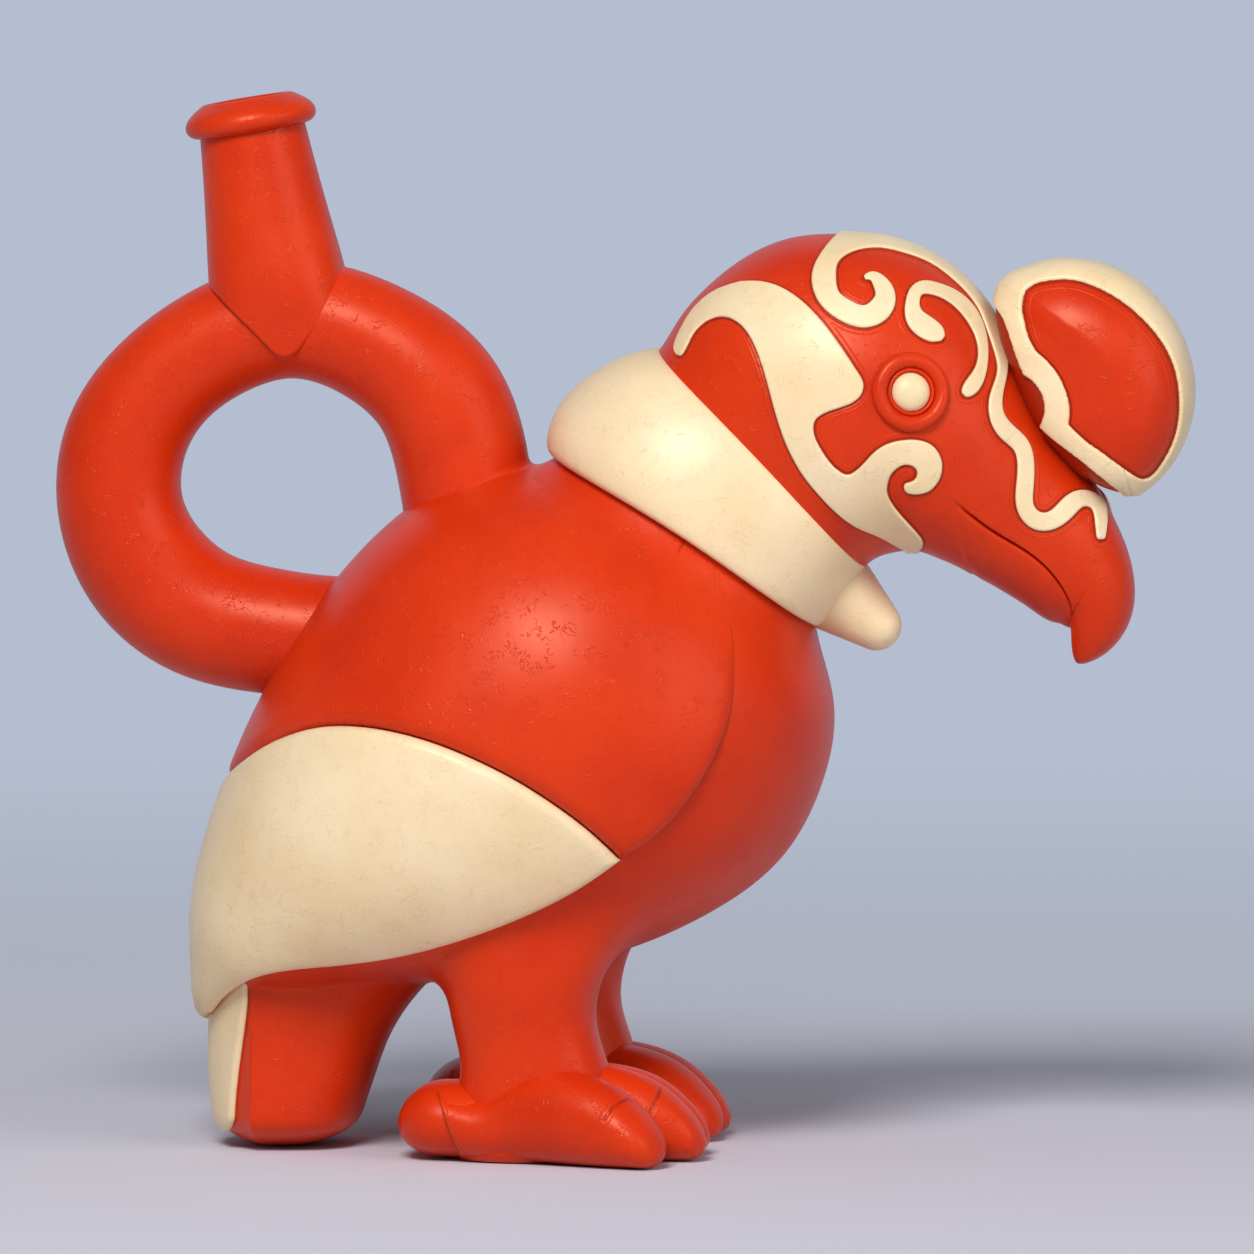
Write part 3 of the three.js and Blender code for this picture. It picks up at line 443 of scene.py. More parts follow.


# Cream slip, of white clay: a warm, faintly cloudy cream, with a darker red-brown painted in as shade at the
# feet of its raised edges.
cream = burnished_slip("burnished_cream_slip", "#edd0a0", "#f4ddb4", "#a9794e", 0.45, "#b84420", "#fff0dc")
upper_back = np.stack([np.linspace(top_line[-1, 0], 1.0, 60), np.zeros(60)], -1)
neck_seam = np.stack([np.ones(39), np.linspace(0, front_line[0, 1], 40)[1:]], -1)
coverts_outline = np.vstack([front_line[:-1], top_line[:-1], upper_back, neck_seam])
lower_back = np.stack([np.linspace(foot_line[-1, 0], top_line[-1, 0], 40), np.zeros(40)], -1)
primaries_outline = np.vstack([foot_line[1:-1], lower_back[:-1], top_line[::-1][:-1], foot_line[:1]])


def smooth(share):
    """A share that starts and ends level: its square times 3 less twice itself."""
    return share * share * (3 - 2 * share)


def covert_rise(along, angle):
    """2.2 mm, sinking 0.1 mm into the body towards the neck."""
    share = np.clip((along - 0.72) / 0.22, 0, 1)
    return 2.2 * (1 - smooth(share)) - 0.1 * share


coverts = plate(body, coverts_outline, covert_rise, 2.6, 2.2)[:2]
primaries = plate(body, primaries_outline, 2.5, 2.0, 2.0)
pair("wing_coverts", coverts, red, "red_slip", crease=on_middle)
pair("wing_primaries", primaries, cream, "cream_slip", crease=on_middle)


# Tail: solid clay modelled below the rump, with a ridge down each side of its rear face.
# The body's clay is smoothed over its root, so it grows out of the rump in a hollow curve.
def heights_over(points, skin, facing):
    """Signed heights of points over the nearest sample of a skin, along its normal there."""
    portions = np.array_split(points.reshape(-1, 3), max(1, points.size // 3 * len(skin) // 3_000_000))
    found = []
    for part in portions:
        nearest = ((part[:, None] - skin) ** 2).sum(-1).argmin(1)
        found.append(((part - skin[nearest]) * facing[nearest]).sum(-1))
    return np.concatenate(found).reshape(points.shape[:-1])


body_skin = body_grid.reshape(-1, 3)
body_facing = outward(body, along, angle).reshape(-1, 3)


def rooted(limb, fillet, rings=60, sides=120, curve=12):
    """Rings of a limb that grows out of the body through a hollow fillet.

    The limb is a function of its share of the way from its free end and of the angle round it, and gives
    points and their directions out. Along the fillet the distances from the limb and from the body trade
    off as in a smooth joint, with the sum of their roots held. Two more rings sink into the body."""
    around = np.arange(sides) * 2 * np.pi / sides
    ends = np.concatenate([limb(np.full(sides, t), around)[0] for t in (0.0, 0.5, 1.0)])
    margin = 12
    low, high = ends.min(0) - margin, ends.max(0) + margin
    local = ((body_skin > low) & (body_skin < high)).all(1)
    skin, facing = body_skin[local], body_facing[local]
    u = np.r_[np.linspace(fillet, -fillet, curve), -fillet - 0.6, -fillet - 1.5][:, None]
    off = np.where(u > 0, (fillet - u) ** 2 / (4 * fillet), (fillet + u) ** 2 / (4 * fillet) - u)
    above = off + u
    off[-2:], above[-2:] = -u[-2:], [[-0.03], [-0.2]]
    angles = np.broadcast_to(around, (curve + 2, sides))
    near, far = np.zeros((curve + 2, sides)), np.ones((curve + 2, sides))
    for _ in range(16):
        half = (near + far) / 2
        spot, way = limb(half, angles)
        outside = heights_over(spot + way * off[..., None], skin, facing) > above
        near, far = np.where(outside, half, near), np.where(outside, far, half)
    spot, way = limb(near, angles)
    joint = spot + way * off[..., None]
    share = np.linspace(0, 1, rings)[:-1, None]
    shaft = limb(near[:1] * share, np.broadcast_to(around, (rings - 1, sides)))[0]
    middle = joint[-1].mean(0)
    nearest = ((joint[-1][:, None] - skin) ** 2).sum(-1).argmin(1)
    tucked = joint[-1] - facing[nearest] * 1.2 + (middle - joint[-1]) * 0.05
    return np.concatenate([shaft, joint, tucked[None]])


tail_rows = [
    # z, rear x, ridge x, front x, half width
    [0.1, -68.2, -66, -61, 4.5],
    [0.9, -71.2, -67, -57, 9.5],
    [2.2, -73.6, -67.6, -53.6, 13.6],
    [3.8, -75.2, -67.9, -51, 16.6],
    [5.4, -76, -67.9, -49.9, 17.9],
    [7.6, -76.4, -67.9, -49.1, 18.3],
    [12, -76.8, -67.8, -47.6, 18.5],
    [20, -76.9, -67.6, -44.6, 18.9],
    [30, -76.4, -67.4, -37.5, 20.5],
    [38, -74.5, -67, -29, 22],
    [48, -70, -64, -20, 23],
]
ridge_angle = np.pi / 3


def tail_skin(along, angle):
    """Level rings: a low arch across the rear face to the ridges, then an oval round the front.

    The ridges stand out from it by 0.35 mm, in a bell curve."""
    row = spline(tail_rows, along)
    z, rear, ridge, front, half = np.moveaxis(row, -1, 0)
    q = np.minimum(angle, 2 * np.pi - angle)
    side = np.where(angle > np.pi, 1, -1)
    share = np.clip(q / ridge_angle, 0, 1)
    t = np.clip((q - ridge_angle) / (np.pi - ridge_angle), 0, 1) * np.pi / 2
    oval = (np.abs(np.cos(t)) ** 3 + np.sin(t) ** 3) ** (-1 / 3)
    x = np.where(share < 1, rear + (ridge - rear) * share**2, ridge + (front - ridge) * np.sin(t) * oval)
    y = half * np.where(share < 1, share, np.cos(t) * oval)
    stands = 0.35 * np.exp(-(((q - ridge_angle) / 0.035) ** 2)) * np.clip(z / 6, 0, 1)
    return np.stack([x - stands * 0.5, side * (y + stands), z], -1)


def tail_limb(along, angle):
    """The tail's skin, and the level way out from its middle line."""
    points = tail_skin(along, angle)
    middle = (tail_skin(along, 0 * angle) + tail_skin(along, 0 * angle + np.pi)) / 2
    way = points - middle
    return points, way / np.linalg.norm(way, axis=-1, keepdims=True)


piece("tail", ring_net(rooted(tail_limb, 1.0, sides=240)), red, "red_slip", "tail")


# Tail stripe: the rear face of the tail under cream slip, a raised panel between narrow red chamfers.
# It runs on up under the folded wings.
def panel(grid, facing, height, sunk=0.5, hoop=False):
    """A raised band from a grid of points along and across it: its top, its sides and its back."""
    top = grid + facing * height[..., None]
    bottom = grid - facing * sunk
    points, faces = ring_net(np.concatenate([top, bottom[:, ::-1]], 1), hoop)
    heights = np.zeros(len(points))
    heights[: 2 * height.size] = np.concatenate([height, 0 * height], 1).ravel()
    return points, faces, edge_marks(heights)


def eased(count):
    """Shares from 0 to 1 that lie closer together at both ends."""
    return (1 - np.cos(np.linspace(0, np.pi, count))) / 2


up, over = np.meshgrid(eased(60), eased(41) * 2 - 1, indexing="ij")
stripe_height = 3.2 + 37 * up
tail_share = np.linspace(0, 1, 400)
stripe_along = np.interp(stripe_height, spline(tail_rows, tail_share)[:, 0], tail_share)
stripe_half = np.minimum(0.72 + 0.0088 * stripe_height, 0.97) * (0.55 + 0.45 * rounded(up, 0.09))
stripe_angle = over * stripe_half * ridge_angle
stripe = tail_skin(stripe_along, stripe_angle)
stripe_facing = outward(tail_skin, stripe_along, stripe_angle)
stripe_edges = np.vstack([stripe[0], stripe[:, 0], stripe[:, -1]])
stripe_away = distance_to(stripe.reshape(-1, 3), stripe_edges).reshape(up.shape)
stripe_net = panel(stripe, stripe_facing, 1.2 * rounded(stripe_away, 1.0), 0.8)
piece("tail_stripe", stripe_net, cream, "cream_slip", "tail_stripe")


# Legs: solid clay, modelled with the feathered thighs as one round column that spreads into the belly.
# The same piece on both sides, under red slip.
leg_rows = [
    # z, rear x, front x, y, half width
    [0.3, -29, -5, -21.5, 10],
    [2, -30, -3, -21.5, 11.5],
    [6, -30.4, -1.2, -21.5, 12],
    [16, -28.6, -0.9, -21.5, 11.6],
    [25, -30, -3.4, -21.6, 12],
    [33, -31.6, -2.4, -22.3, 13],
    [42, -34.5, 1, -21.5, 13.8],
    [54, -36, 3, -19, 13.5],
    [70, -36, 4, -14, 12],
    [90, -36, 4, -10, 9],
]


def leg_limb(along, angle):
    """Level ovals, a little squared, and the level way out from their middles."""
    row = spline(leg_rows, along)
    z, rear, front, y, half = np.moveaxis(row, -1, 0)
    full = 1 + 0.046 * np.sin(2 * angle) ** 2
    way = np.stack([(front - rear) / 2 * full * np.cos(angle), -half * full * np.sin(angle), 0 * z], -1)
    points = np.stack([(rear + front) / 2, y, z], -1) + way
    return points, way / np.linalg.norm(way, axis=-1, keepdims=True)


pair("leg", ring_net(rooted(leg_limb, 7.0)), red, "red_slip")

# Toes: four to a foot, each a fat roll of clay pressed against the leg's base, three ahead and one behind.
# The outer one runs back along the ankle to the hind one. A scored line sets off the claw of each.
toe_rows = {
    # name: heading in degrees, start sideways, then rows of top and sole along the toe, half width, bow
    "hind_toe": (180, 0.0, [
        [0, 13.6, 0, 0.4, 9.6, 0], [8, 14.2, 8, 0.3, 10.8, 0], [14, 14.5, 13, 0.3, 11.4, 0],
        [19, 13.9, 18, 0.6, 10.8, 0], [22.4, 11.6, 21.6, 1.8, 8.6, 0], [24.1, 9, 23.8, 4, 5.2, 0],
        [24.6, 7.2, 24.6, 5.9, 1.4, 0],
    ]),
    "outer_toe": (-24, -6.2, [
        [-17, 13.6, -12.4, 0.6, 7.6, 0], [-12, 12.2, -8, 0.4, 8.6, 0], [-6, 13.2, -4, 0.4, 8.8, 0],
        [0, 16, 0, 0.3, 8.5, 0], [6, 17.3, 6, 0.2, 8.2, 0], [13, 16.6, 13, 0.1, 7.8, 0],
        [19.4, 14, 19, 0.1, 7.1, 0], [24.5, 10, 23.8, 0.2, 6, 0], [27.5, 6, 26.6, 0.6, 4.1, 0],
        [28.4, 3.6, 27.9, 1.5, 1.6, 0],
    ]),
    "middle_toe": (-3, 0.0, [
        [0, 15.4, 0, 0.4, 7.8, 0], [8, 17.6, 8, 0.2, 7.7, 0], [16, 17.2, 16, 0.1, 7.4, 0],
        [23.4, 14.5, 23, 0.1, 6.9, 0], [28.6, 10.4, 28, 0.3, 5.8, 0], [31.8, 6.2, 30.8, 0.7, 4, 0],
        [32.7, 3.8, 32.2, 1.6, 1.6, 0],
    ]),
    "inner_toe": (19, 0.0, [
        [0, 15.4, 0, 0.4, 7.8, 0], [8, 17.6, 8, 0.2, 7.7, 0], [16, 17.2, 16, 0.1, 7.4, 0],
        [24.4, 14.5, 24, 0.1, 6.9, 0], [29.6, 10.4, 29, 0.3, 5.8, 0], [32.8, 6.2, 31.8, 0.7, 4, 0],
        [33.7, 3.8, 33.2, 1.6, 1.6, 0],
    ]),
}
# The scored lines, in pixels: the hind one crosses from its toe on to the outer toe.
hind_line = [[437, 1087], [436, 1100], [438, 1112], [443, 1126], [449, 1138], [459, 1152]]
claw_lines = {
    "hind_toe": [hind_line],
    "outer_toe": [[[605, 1119], [610, 1111], [619, 1103], [631, 1098], [641, 1099]], hind_line],
    "middle_toe": [[[650, 1112], [653, 1106], [658, 1096], [660, 1088]]],
    "inner_toe": [],
}
ankle = np.array([-15.5, -21.5])


def toe_skin(heading, start, rows):
    """A roll along a path that leaves the ankle on its heading, and lies level with the bird behind it."""
    straight = loft(rows, fullness=0.03)
    steps = np.linspace(-20, 36, 561)
    bend = np.clip((steps + 12) / 14, 0, 1) if start else np.ones(561)
    bearing = np.radians(heading) * smooth(bend)
    path = np.stack([np.cumsum(np.cos(bearing)), np.cumsum(np.sin(bearing))], -1) * 0.1
    path += ankle + [0, start] - path[200]

    def surface(along, angle):
        x, y, z = np.moveaxis(straight(along, angle), -1, 0)
        turn_by = np.interp(x, steps, bearing)
        middle = [np.interp(x, steps, path[:, k]) for k in (0, 1)]
        return np.stack([middle[0] - y * np.sin(turn_by), middle[1] + y * np.cos(turn_by), z], -1)

    return surface


for name, (heading, start, rows) in toe_rows.items():
    skin = toe_skin(heading, start, rows)
    toe_s, toe_a = np.meshgrid(eased(110), np.arange(120) * np.pi / 60, indexing="ij")
    grid = skin(toe_s, toe_a)
    if start:
        grid = np.concatenate([(grid[:1] - grid[0].mean(0)) * 0.9 + grid[0].mean(0), grid])
    net = ring_net(grid)
    # The claw lines are scored, and their grooves take the slip's painted shade.
    claws = [spline(line, np.linspace(0, 1, 60))[:, :2] for line in claw_lines[name]]
    away = [distance_to(net[0], skin(*settle(skin, claw))) for claw in claws]
    marks = 3 - 1.15 * np.min(away, 0) if away else np.zeros(len(net[0]))
    pair(name, net, red, "red_slip", scored=marks)

# Collar: the bird's ruff, a thick ring of clay under cream slip, luted on between body and head.
# Both its seams bow forward at the sides, and its edges are rolled in.
collar = loft(
    [
        # nape x and z, throat x and z, half width, bow
        [-14.7, 128.8, 35.3, 97.1, 29.3, 3.2],
        [-14.6, 132.5, 36.6, 97.8, 30, 3.0],
        [-12.8, 137.3, 38.2, 99.5, 30, 2.7],
        [-8.4, 142.3, 40.3, 102.3, 29.3, 2.4],
        [-2, 146.4, 42.3, 105.2, 28, 2.2],
        [4.5, 148.4, 44, 107.6, 26.2, 2.0],
        [7.1, 148.5, 44.8, 108.9, 25.2, 2.0],
    ],
    fullness=0.024,
)
collar_length = 21.0
lower_roll, upper_roll, end_depth = 1.6, 1.2, 5.0


def pressed_in(along, depth):
    """Rings of the collar's skin at shares along it, each moved in from it by its depth."""
    s, a = np.meshgrid(along, np.arange(240) * np.pi / 120, indexing="ij")
    return collar(s, a) - outward(collar, s, a) * np.reshape(depth, (-1, 1, 1))


quarter = np.linspace(0, np.pi / 2, 8)
lower_along = lower_roll * (1 - np.cos(quarter)) / collar_length
upper_along = 1 - upper_roll * (1 - np.cos(quarter)) / collar_length
rings_along = np.r_[lower_along, np.linspace(lower_along[-1], upper_along[-1], 60)[1:-1], upper_along[::-1]]
drop = np.r_[lower_roll * (1 - np.sin(quarter)), np.zeros(58), upper_roll * (1 - np.sin(quarter))[::-1]]
collar_ends = [pressed_in([end], [end_depth]) for end in (0.0, 1.0)]
collar_grid = np.concatenate([collar_ends[0], pressed_in(rings_along, drop), collar_ends[1]])
piece("collar", ring_net(collar_grid), cream, "cream_slip", "collar")


# Throat wattle: a blunt cone of solid clay under the same cream slip, luted to the front of the ruff.
# It narrows from a radius of 7.6 mm on the ruff to a round tip of 4.7 mm.
def turned(profile, origin, axis, sides=120, hoop=False):
    """A net of a profile of radii and heights, turned about an axis from an origin."""
    axis = np.asarray(axis, float) / np.linalg.norm(axis)
    level = np.cross([0, 1, 0], axis)
    level /= np.linalg.norm(level)
    other = np.cross(axis, level)
    around = np.arange(sides) * 2 * np.pi / sides
    circle = np.cos(around)[:, None] * level + np.sin(around)[:, None] * other
    radius, height = np.asarray(profile, float).T
    return ring_net(origin + height[:, None, None] * axis + radius[:, None, None] * circle, hoop)


wattle_foot = np.array([40, 0, 102.7])
wattle_axis = np.array([6.3, 0, -5.2])
wattle_length = np.hypot(6.3, 5.2)
foot_radius, tip_radius = 7.6, 4.7
cone = np.arcsin((foot_radius - tip_radius) / wattle_length)
cap = np.linspace(cone, np.pi / 2, 16)[:-1]
tip = np.stack([tip_radius * np.cos(cap), wattle_length + tip_radius * np.sin(cap)], -1)
sunk_end, foot_end = [8.6, -6], [7.9 * np.cos(cone), 7.9 * np.sin(cone) * 0.2]
root, slope = np.linspace(sunk_end, foot_end, 12)[:-1], np.linspace(foot_end, tip[0], 24)[:-1]
wattle_profile = np.vstack([root, slope, tip])
piece("throat_wattle", turned(wattle_profile, wattle_foot, wattle_axis), cream, "cream_slip", "throat_wattle")

# Stirrup: a tube of clay rolled round a rod and bent into a loop, its front arm short and its rear arm long.
# The arms meet under the spout, and both are luted to the back and smoothed in under red slip.
stirrup_rows = [
    # x, z, radius, from the front root over the top and round behind to the rear root
    [-28.9, 114, 12],
    [-30.4, 125.5, 12.3],
    [-35.2, 139.5, 12.2],
    [-46, 148.7, 11.4],
    [-62.7, 153.3, 10.9],
    [-76.6, 148.9, 10.6],
    [-86.9, 141.1, 10.7],
    [-93.6, 130.1, 11.4],
    [-94.3, 117.6, 11.7],
    [-88.7, 106, 12.2],
    [-79.4, 98.8, 12.1],
    [-67.3, 95.6, 11.7],
    [-57.1, 94.5, 11.4],
    [-47.8, 94.3, 11.3],
]
under_spout = 0.33


def stirrup(way, angle):
    """Circles across the loop's middle line, and the way out from it."""
    row = spline(stirrup_rows, way)
    ahead = spline(stirrup_rows, np.clip(way + 1e-4, 0, 1)) - spline(stirrup_rows, np.clip(way - 1e-4, 0, 1))
    ahead /= np.linalg.norm(ahead[..., :2], axis=-1, keepdims=True)
    out = np.stack([ahead[..., 1] * np.cos(angle), np.sin(angle), -ahead[..., 0] * np.cos(angle)], -1)
    centre = np.stack([row[..., 0], 0 * row[..., 0], row[..., 1]], -1)
    return centre + out * row[..., 2:3], out


def front_arm(along, angle):
    """The loop from under the spout to the front root."""
    return stirrup(under_spout * (1 - along), angle)


def rear_arm(along, angle):
    """The loop from under the spout round to the rear root."""
    return stirrup(under_spout + (1 - under_spout) * along, angle)


cut = stirrup(np.full(2, under_spout), np.array([0, np.pi]))[0]
cut_way = np.cross(cut[1] - cut[0], [0, 1, 0])
cut_way /= np.linalg.norm(cut_way)


def on_cut(points):
    """Whether each point lies in the plane between the two arms."""
    return np.abs((points - cut[0]) @ cut_way) < 1e-3


for name, arm, rings in (("stirrup_front_arm", front_arm, 60), ("stirrup_rear_arm", rear_arm, 160)):
    piece(name, ring_net(rooted(arm, 2.0, rings)), red, "red_slip", name, crease=on_cut)

# Spout: a hollow tube, rolled on its own, whose foot is notched on both sides to straddle the stirrup.
# It narrows upwards from a squarish foot, leans back a little, and is luted on and slipped red.
spout_foot = np.array([-62.9, 0, 147.5])
lean = np.radians(9.4)
spout_axis = np.array([-np.sin(lean), 0, np.cos(lean)])
spout_side = np.array([np.cos(lean), 0, np.sin(lean)])
spout_top, spout_sunk = 41.7, 3.0
spout_rows = [
    # height, half across, half deep
    [-3, 9.8, 12.8],
    [3, 11.4, 13],
    [9, 12.4, 12.9],
    [15, 12.5, 12.5],
    [22, 11.8, 11.8],
    [31, 10.8, 10.8],
    [41.7, 9.8, 9.8],
]
# The notch's near edge, in pixels: its two sides meet in a soft point.
notch = [
    [190, 271], [204, 286], [236, 319], [266, 348], [280, 359], [290, 359], [305, 345], [320, 324],
    [339, 294], [350, 270], [358, 250],
]


def spout(height, angle, inset=0.0):
    """Ovals across the spout's axis, by their height over its foot, moved in by the inset.

    Their power falls from 3 at the foot, which is squarish, to 2 at 24 mm, which is a plain oval."""
    row = spline(spout_rows, (height + spout_sunk) / (spout_top + spout_sunk))
    deep, across = row[..., 2] - inset, row[..., 1] - inset
    power = 2 + np.clip((24 - height) / 20, 0, 1)
    round_by = (np.abs(np.cos(angle)) ** power + np.abs(np.sin(angle)) ** power) ** (-1 / power)
    ring = (deep * round_by * np.cos(angle))[..., None] * spout_side
    ring = ring + (across * round_by * np.sin(angle))[..., None] * [0, 1, 0]
    return spout_foot + row[..., 0:1] * spout_axis + ring


around = np.arange(160) * np.pi / 80
near_around = -np.arccos(np.cos(around))
notch_line = spline(notch, np.linspace(0, 1, 200))[:, :2]
low, high = np.full(160, -2.9), np.full(160, 24.0)
for _ in range(30):
    middle = (low + high) / 2
    spot = seen(spout(middle, near_around))
    over_notch = spot[:, 1] < np.interp(spot[:, 0], *notch_line.T)
    low, high = np.where(over_notch, low, middle), np.where(over_notch, middle, high)
lip = np.linspace(0, np.pi / 2, 7)[:, None]
foot_rings = spout(high + 1.2 * (1 - np.cos(lip)), around, 1.2 * (1 - np.sin(lip)))
deep_ring = spout(high + 0.5, around, 4.5)
share = np.linspace(0, 1, 60)[1:, None]
wall_rings = spout((high + 1.2) * (1 - share) + spout_top * share, around)
bore_heights = np.array([spout_top, spout_top, 30, 20, 12])[:, None]
bore_radius = np.array([8.4, 6.8, 6.8, 6.8, 6.8])[:, None, None]
circle = np.cos(around)[:, None] * spout_side + np.sin(around)[:, None] * [0, 1, 0]
bore_rings = spout_foot + bore_heights[..., None] * spout_axis + bore_radius * circle
spout_grid = np.concatenate([deep_ring[None], foot_rings, wall_rings, bore_rings])
piece("spout_tube", ring_net(spout_grid), red, "red_slip", "spout_tube")

# Spout rim: a fat rolled bead of clay, widest low down, round the mouth of the spout.
# A thin lip stands in its middle, round the narrow opening.
rim_corners = [
    # radius, height
    [7, 1.5], [7, 0.2], [9.9, -0.1], [11.6, 0.6], [12.2, 1.9], [11.7, 3.4], [10.2, 4.8], [9.1, 5.5],
    [8.4, 5.9], [7.6, 6], [7, 5.3], [6.9, 3.4], [7, 1.5],
]
rim_profile = spline(rim_corners, np.linspace(0, 1, 96))[:-1]
rim_foot = spout_foot + (spout_top - 0.3) * spout_axis
piece("spout_rim", turned(rim_profile, rim_foot, spout_axis, hoop=True), red, "red_slip", "spout_rim")

# Head: the skull and upper bill, hollow behind and solid ahead, pressed in two halves and joined.
# Red slip covers it, and its mouth is a deep scored groove down each side to the hooked tip.
head = loft(
    [
        # crown x and z, jaw x and z, half width, bow
        [2.4, 144.4, 40, 104.3, 24.5, 0],
        [6.7, 149.1, 44.6, 108.7, 25.2, 0],
        [10.4, 154.9, 47.1, 110.3, 26.3, 0],
        [15.1, 160.1, 49.5, 111, 27.2, 0],
        [21.9, 165.4, 52.3, 111.4, 27.8, 0],
        [30.3, 169, 55.2, 111.1, 28, 0],
        [39.2, 169.8, 58.2, 110, 27.6, 0],
        [48, 169.1, 61.2, 108.7, 26.4, 0],
        [56.4, 166, 64.4, 107, 24.4, 0],
        [64.2, 159.8, 67.5, 105.4, 21.9, 0],
        [69.9, 151.3, 70.9, 103.4, 19.2, 0],
        [74.4, 142.6, 73.8, 101.6, 16.8, 0],
        [80, 133.2, 76.8, 99.5, 14.6, 0],
        [85.2, 126.5, 79, 98.4, 12.8, 0],
        [89.3, 119.5, 80.9, 97.9, 11.2, 0],
        [92.4, 112.8, 81.8, 96.6, 9.9, 0],
        [94.1, 105.6, 81.8, 94.4, 8.6, 0],
        [93.7, 100, 82, 92.5, 7.2, 0],
        [91.1, 94.8, 82.6, 91.4, 5.6, 0],
        [87.6, 91.8, 83.7, 90.7, 3.4, 0],
        [85.6, 90.9, 84.8, 90.7, 1.2, 0],
    ],
    fullness=0.024,
)
mouth_pixels = [[947, 492], [992, 529], [1032, 554], [1055, 576], [1067, 595], [1072, 615], [1067, 627]]
crown_rows = [
    # pixels of the band's middle, and its width: the spiral, the crown, then down the face and bill
    [863, 279, 4], [871, 277, 9], [880, 284, 16], [885, 296, 21], [881, 308, 24], [865, 317, 23],
    [845, 311, 23], [830, 299, 23], [824, 277, 25], [831, 257, 20], [842, 246, 22], [862, 237, 26],
    [882, 236, 26], [904, 240.5, 26], [933, 251, 26], [960, 268.5, 28], [986, 298, 27], [993, 324, 18],
    [999, 349, 13], [1001, 372, 10], [995, 398, 13], [996, 416, 15], [1006, 432, 18], [1020, 446, 17],
    [1025, 465, 17], [1024, 490, 18], [1026, 510, 18], [1038, 521, 19], [1052, 520, 19], [1066, 509, 20],
    [1080, 499, 18], [1095, 504, 14], [1100, 522, 12], [1100, 541, 8],
]
brow_rows = [
    [943, 340, 8], [935, 334, 20], [918, 322, 22], [912, 305, 15], [918, 290, 14], [935, 290, 13],
    [958, 302, 14], [974, 322, 13], [982, 350, 10], [979, 372, 13], [970, 388, 16], [962, 396, 8],
]
cheek_pixels = [
    [742, 282], [762, 282], [772, 284], [797, 297], [829, 330], [858, 372], [864, 386], [862, 394],
    [822, 415], [816, 420], [814, 426], [822, 450], [840, 471], [848, 474], [853, 472], [875, 451],
    [891, 442], [900, 440], [920, 440], [933, 446], [938, 452], [942, 462], [942, 472], [936, 485],
    [929, 491], [912, 494], [905, 491], [904, 484], [913, 480], [916, 476], [916, 470], [908, 465],
    [895, 470], [888, 485], [888, 493], [892, 502], [920, 535], [924, 543], [923, 547], [883, 538],
    [855, 526], [817, 493], [802, 474], [790, 453], [778, 422], [758, 354], [750, 337], [739, 324],
    [725, 318], [708, 322], [695, 334], [685, 353], [681, 357], [678, 356], [680, 334], [697, 307],
    [717, 291], [742, 282],
]


def ribbon(surface, rows, across=17):
    """Places across and along a band whose rows give pixels of its middle line, and its width."""
    length = np.linalg.norm(np.diff(np.asarray(rows, float)[:, :2], axis=0), axis=1).sum()
    line = spline(rows, np.linspace(0, 1, int(length / 2.5)))
    tangent = np.gradient(line[:, :2], axis=0)
    tangent /= np.linalg.norm(tangent, axis=1, keepdims=True)
    sideways = np.stack([-tangent[:, 1], tangent[:, 0]], -1)
    run = np.r_[0, np.cumsum(np.linalg.norm(np.diff(line[:, :2], axis=0), axis=1))]
    half = line[:, 2] / 2
    half = half * rounded(np.minimum(run, run[-1] - run) + 0.05, half)
    spread = eased(across) * 2 - 1
    pixels = line[:, None, :2] + sideways[:, None] * (half[:, None] * spread)[..., None]
    s, a = settle(surface, pixels.reshape(-1, 2))
    return s.reshape(pixels.shape[:2]), a.reshape(pixels.shape[:2])


crown_band = ribbon(head, crown_rows)
brow_band = ribbon(head, brow_rows)
cheek_outline = drawn(head, cheek_pixels)[:-1]
mouth = drawn(head, mouth_pixels, 4)


def band_outline(s, a):
    """The places round a band's edge, as one closed line."""
    return np.vstack([np.stack([s[:, 0], a[:, 0]], -1), np.stack([s[::-1, -1], a[::-1, -1]], -1)])


def scored_round(surface, s, a, outlines):
    """3 mm less the distance to the nearest outline, which counts as negative inside one."""
    points = surface(s, a).reshape(-1, 3)
    places = np.stack([s.ravel(), a.ravel()], -1)
    lines = np.vstack([surface(*line[line[:, 1] > 1e-3].T) for line in outlines])
    away = distance_to(points, lines)
    inside = np.any([within(places, line) for line in outlines], 0)
    return 3 - np.where(inside, -away, away)


mouth_start = mouth[0, 0]
mouth_rank = np.argsort(mouth[:, 0])


def mouth_angle(along):
    """The angle of the mouth's line at each share of the way along the head."""
    return np.interp(along, mouth[mouth_rank, 0], mouth[mouth_rank, 1])


# One line of the net follows the mouth, and below it the skin steps in by 2.2 mm behind the lower bill.
head_s, head_a = np.meshgrid(np.linspace(0, 1, 200), np.arange(241) * np.pi / 240, indexing="ij")
line_at = mouth_angle(head_s)
crowd = np.pi * 133 / 240
over_mouth, under_mouth = line_at / crowd, (np.pi - line_at) / (np.pi - crowd)
head_a = np.where(head_a < crowd, head_a * over_mouth, line_at + (head_a - crowd) * under_mouth)
past = smooth(np.clip((head_s - mouth_start) * 110 / 9, 0, 1))
under = np.clip((head_a - line_at) * 12 / 0.6, 0, 1)
pushed = head(head_s, head_a) - outward(head, head_s, head_a) * (2.2 * past * under)[..., None]
left_skin = pushed[:, -2:0:-1] * [1, -1, 1]
figures = [band_outline(*crown_band), band_outline(*brow_band), cheek_outline]
marks = scored_round(head, head_s, head_a, figures).reshape(head_s.shape)
marks = np.concatenate([marks, marks[:, -2:0:-1]], 1)
skull = (*ring_net(np.concatenate([pushed, left_skin], 1)), np.r_[marks.ravel(), 0, 0])
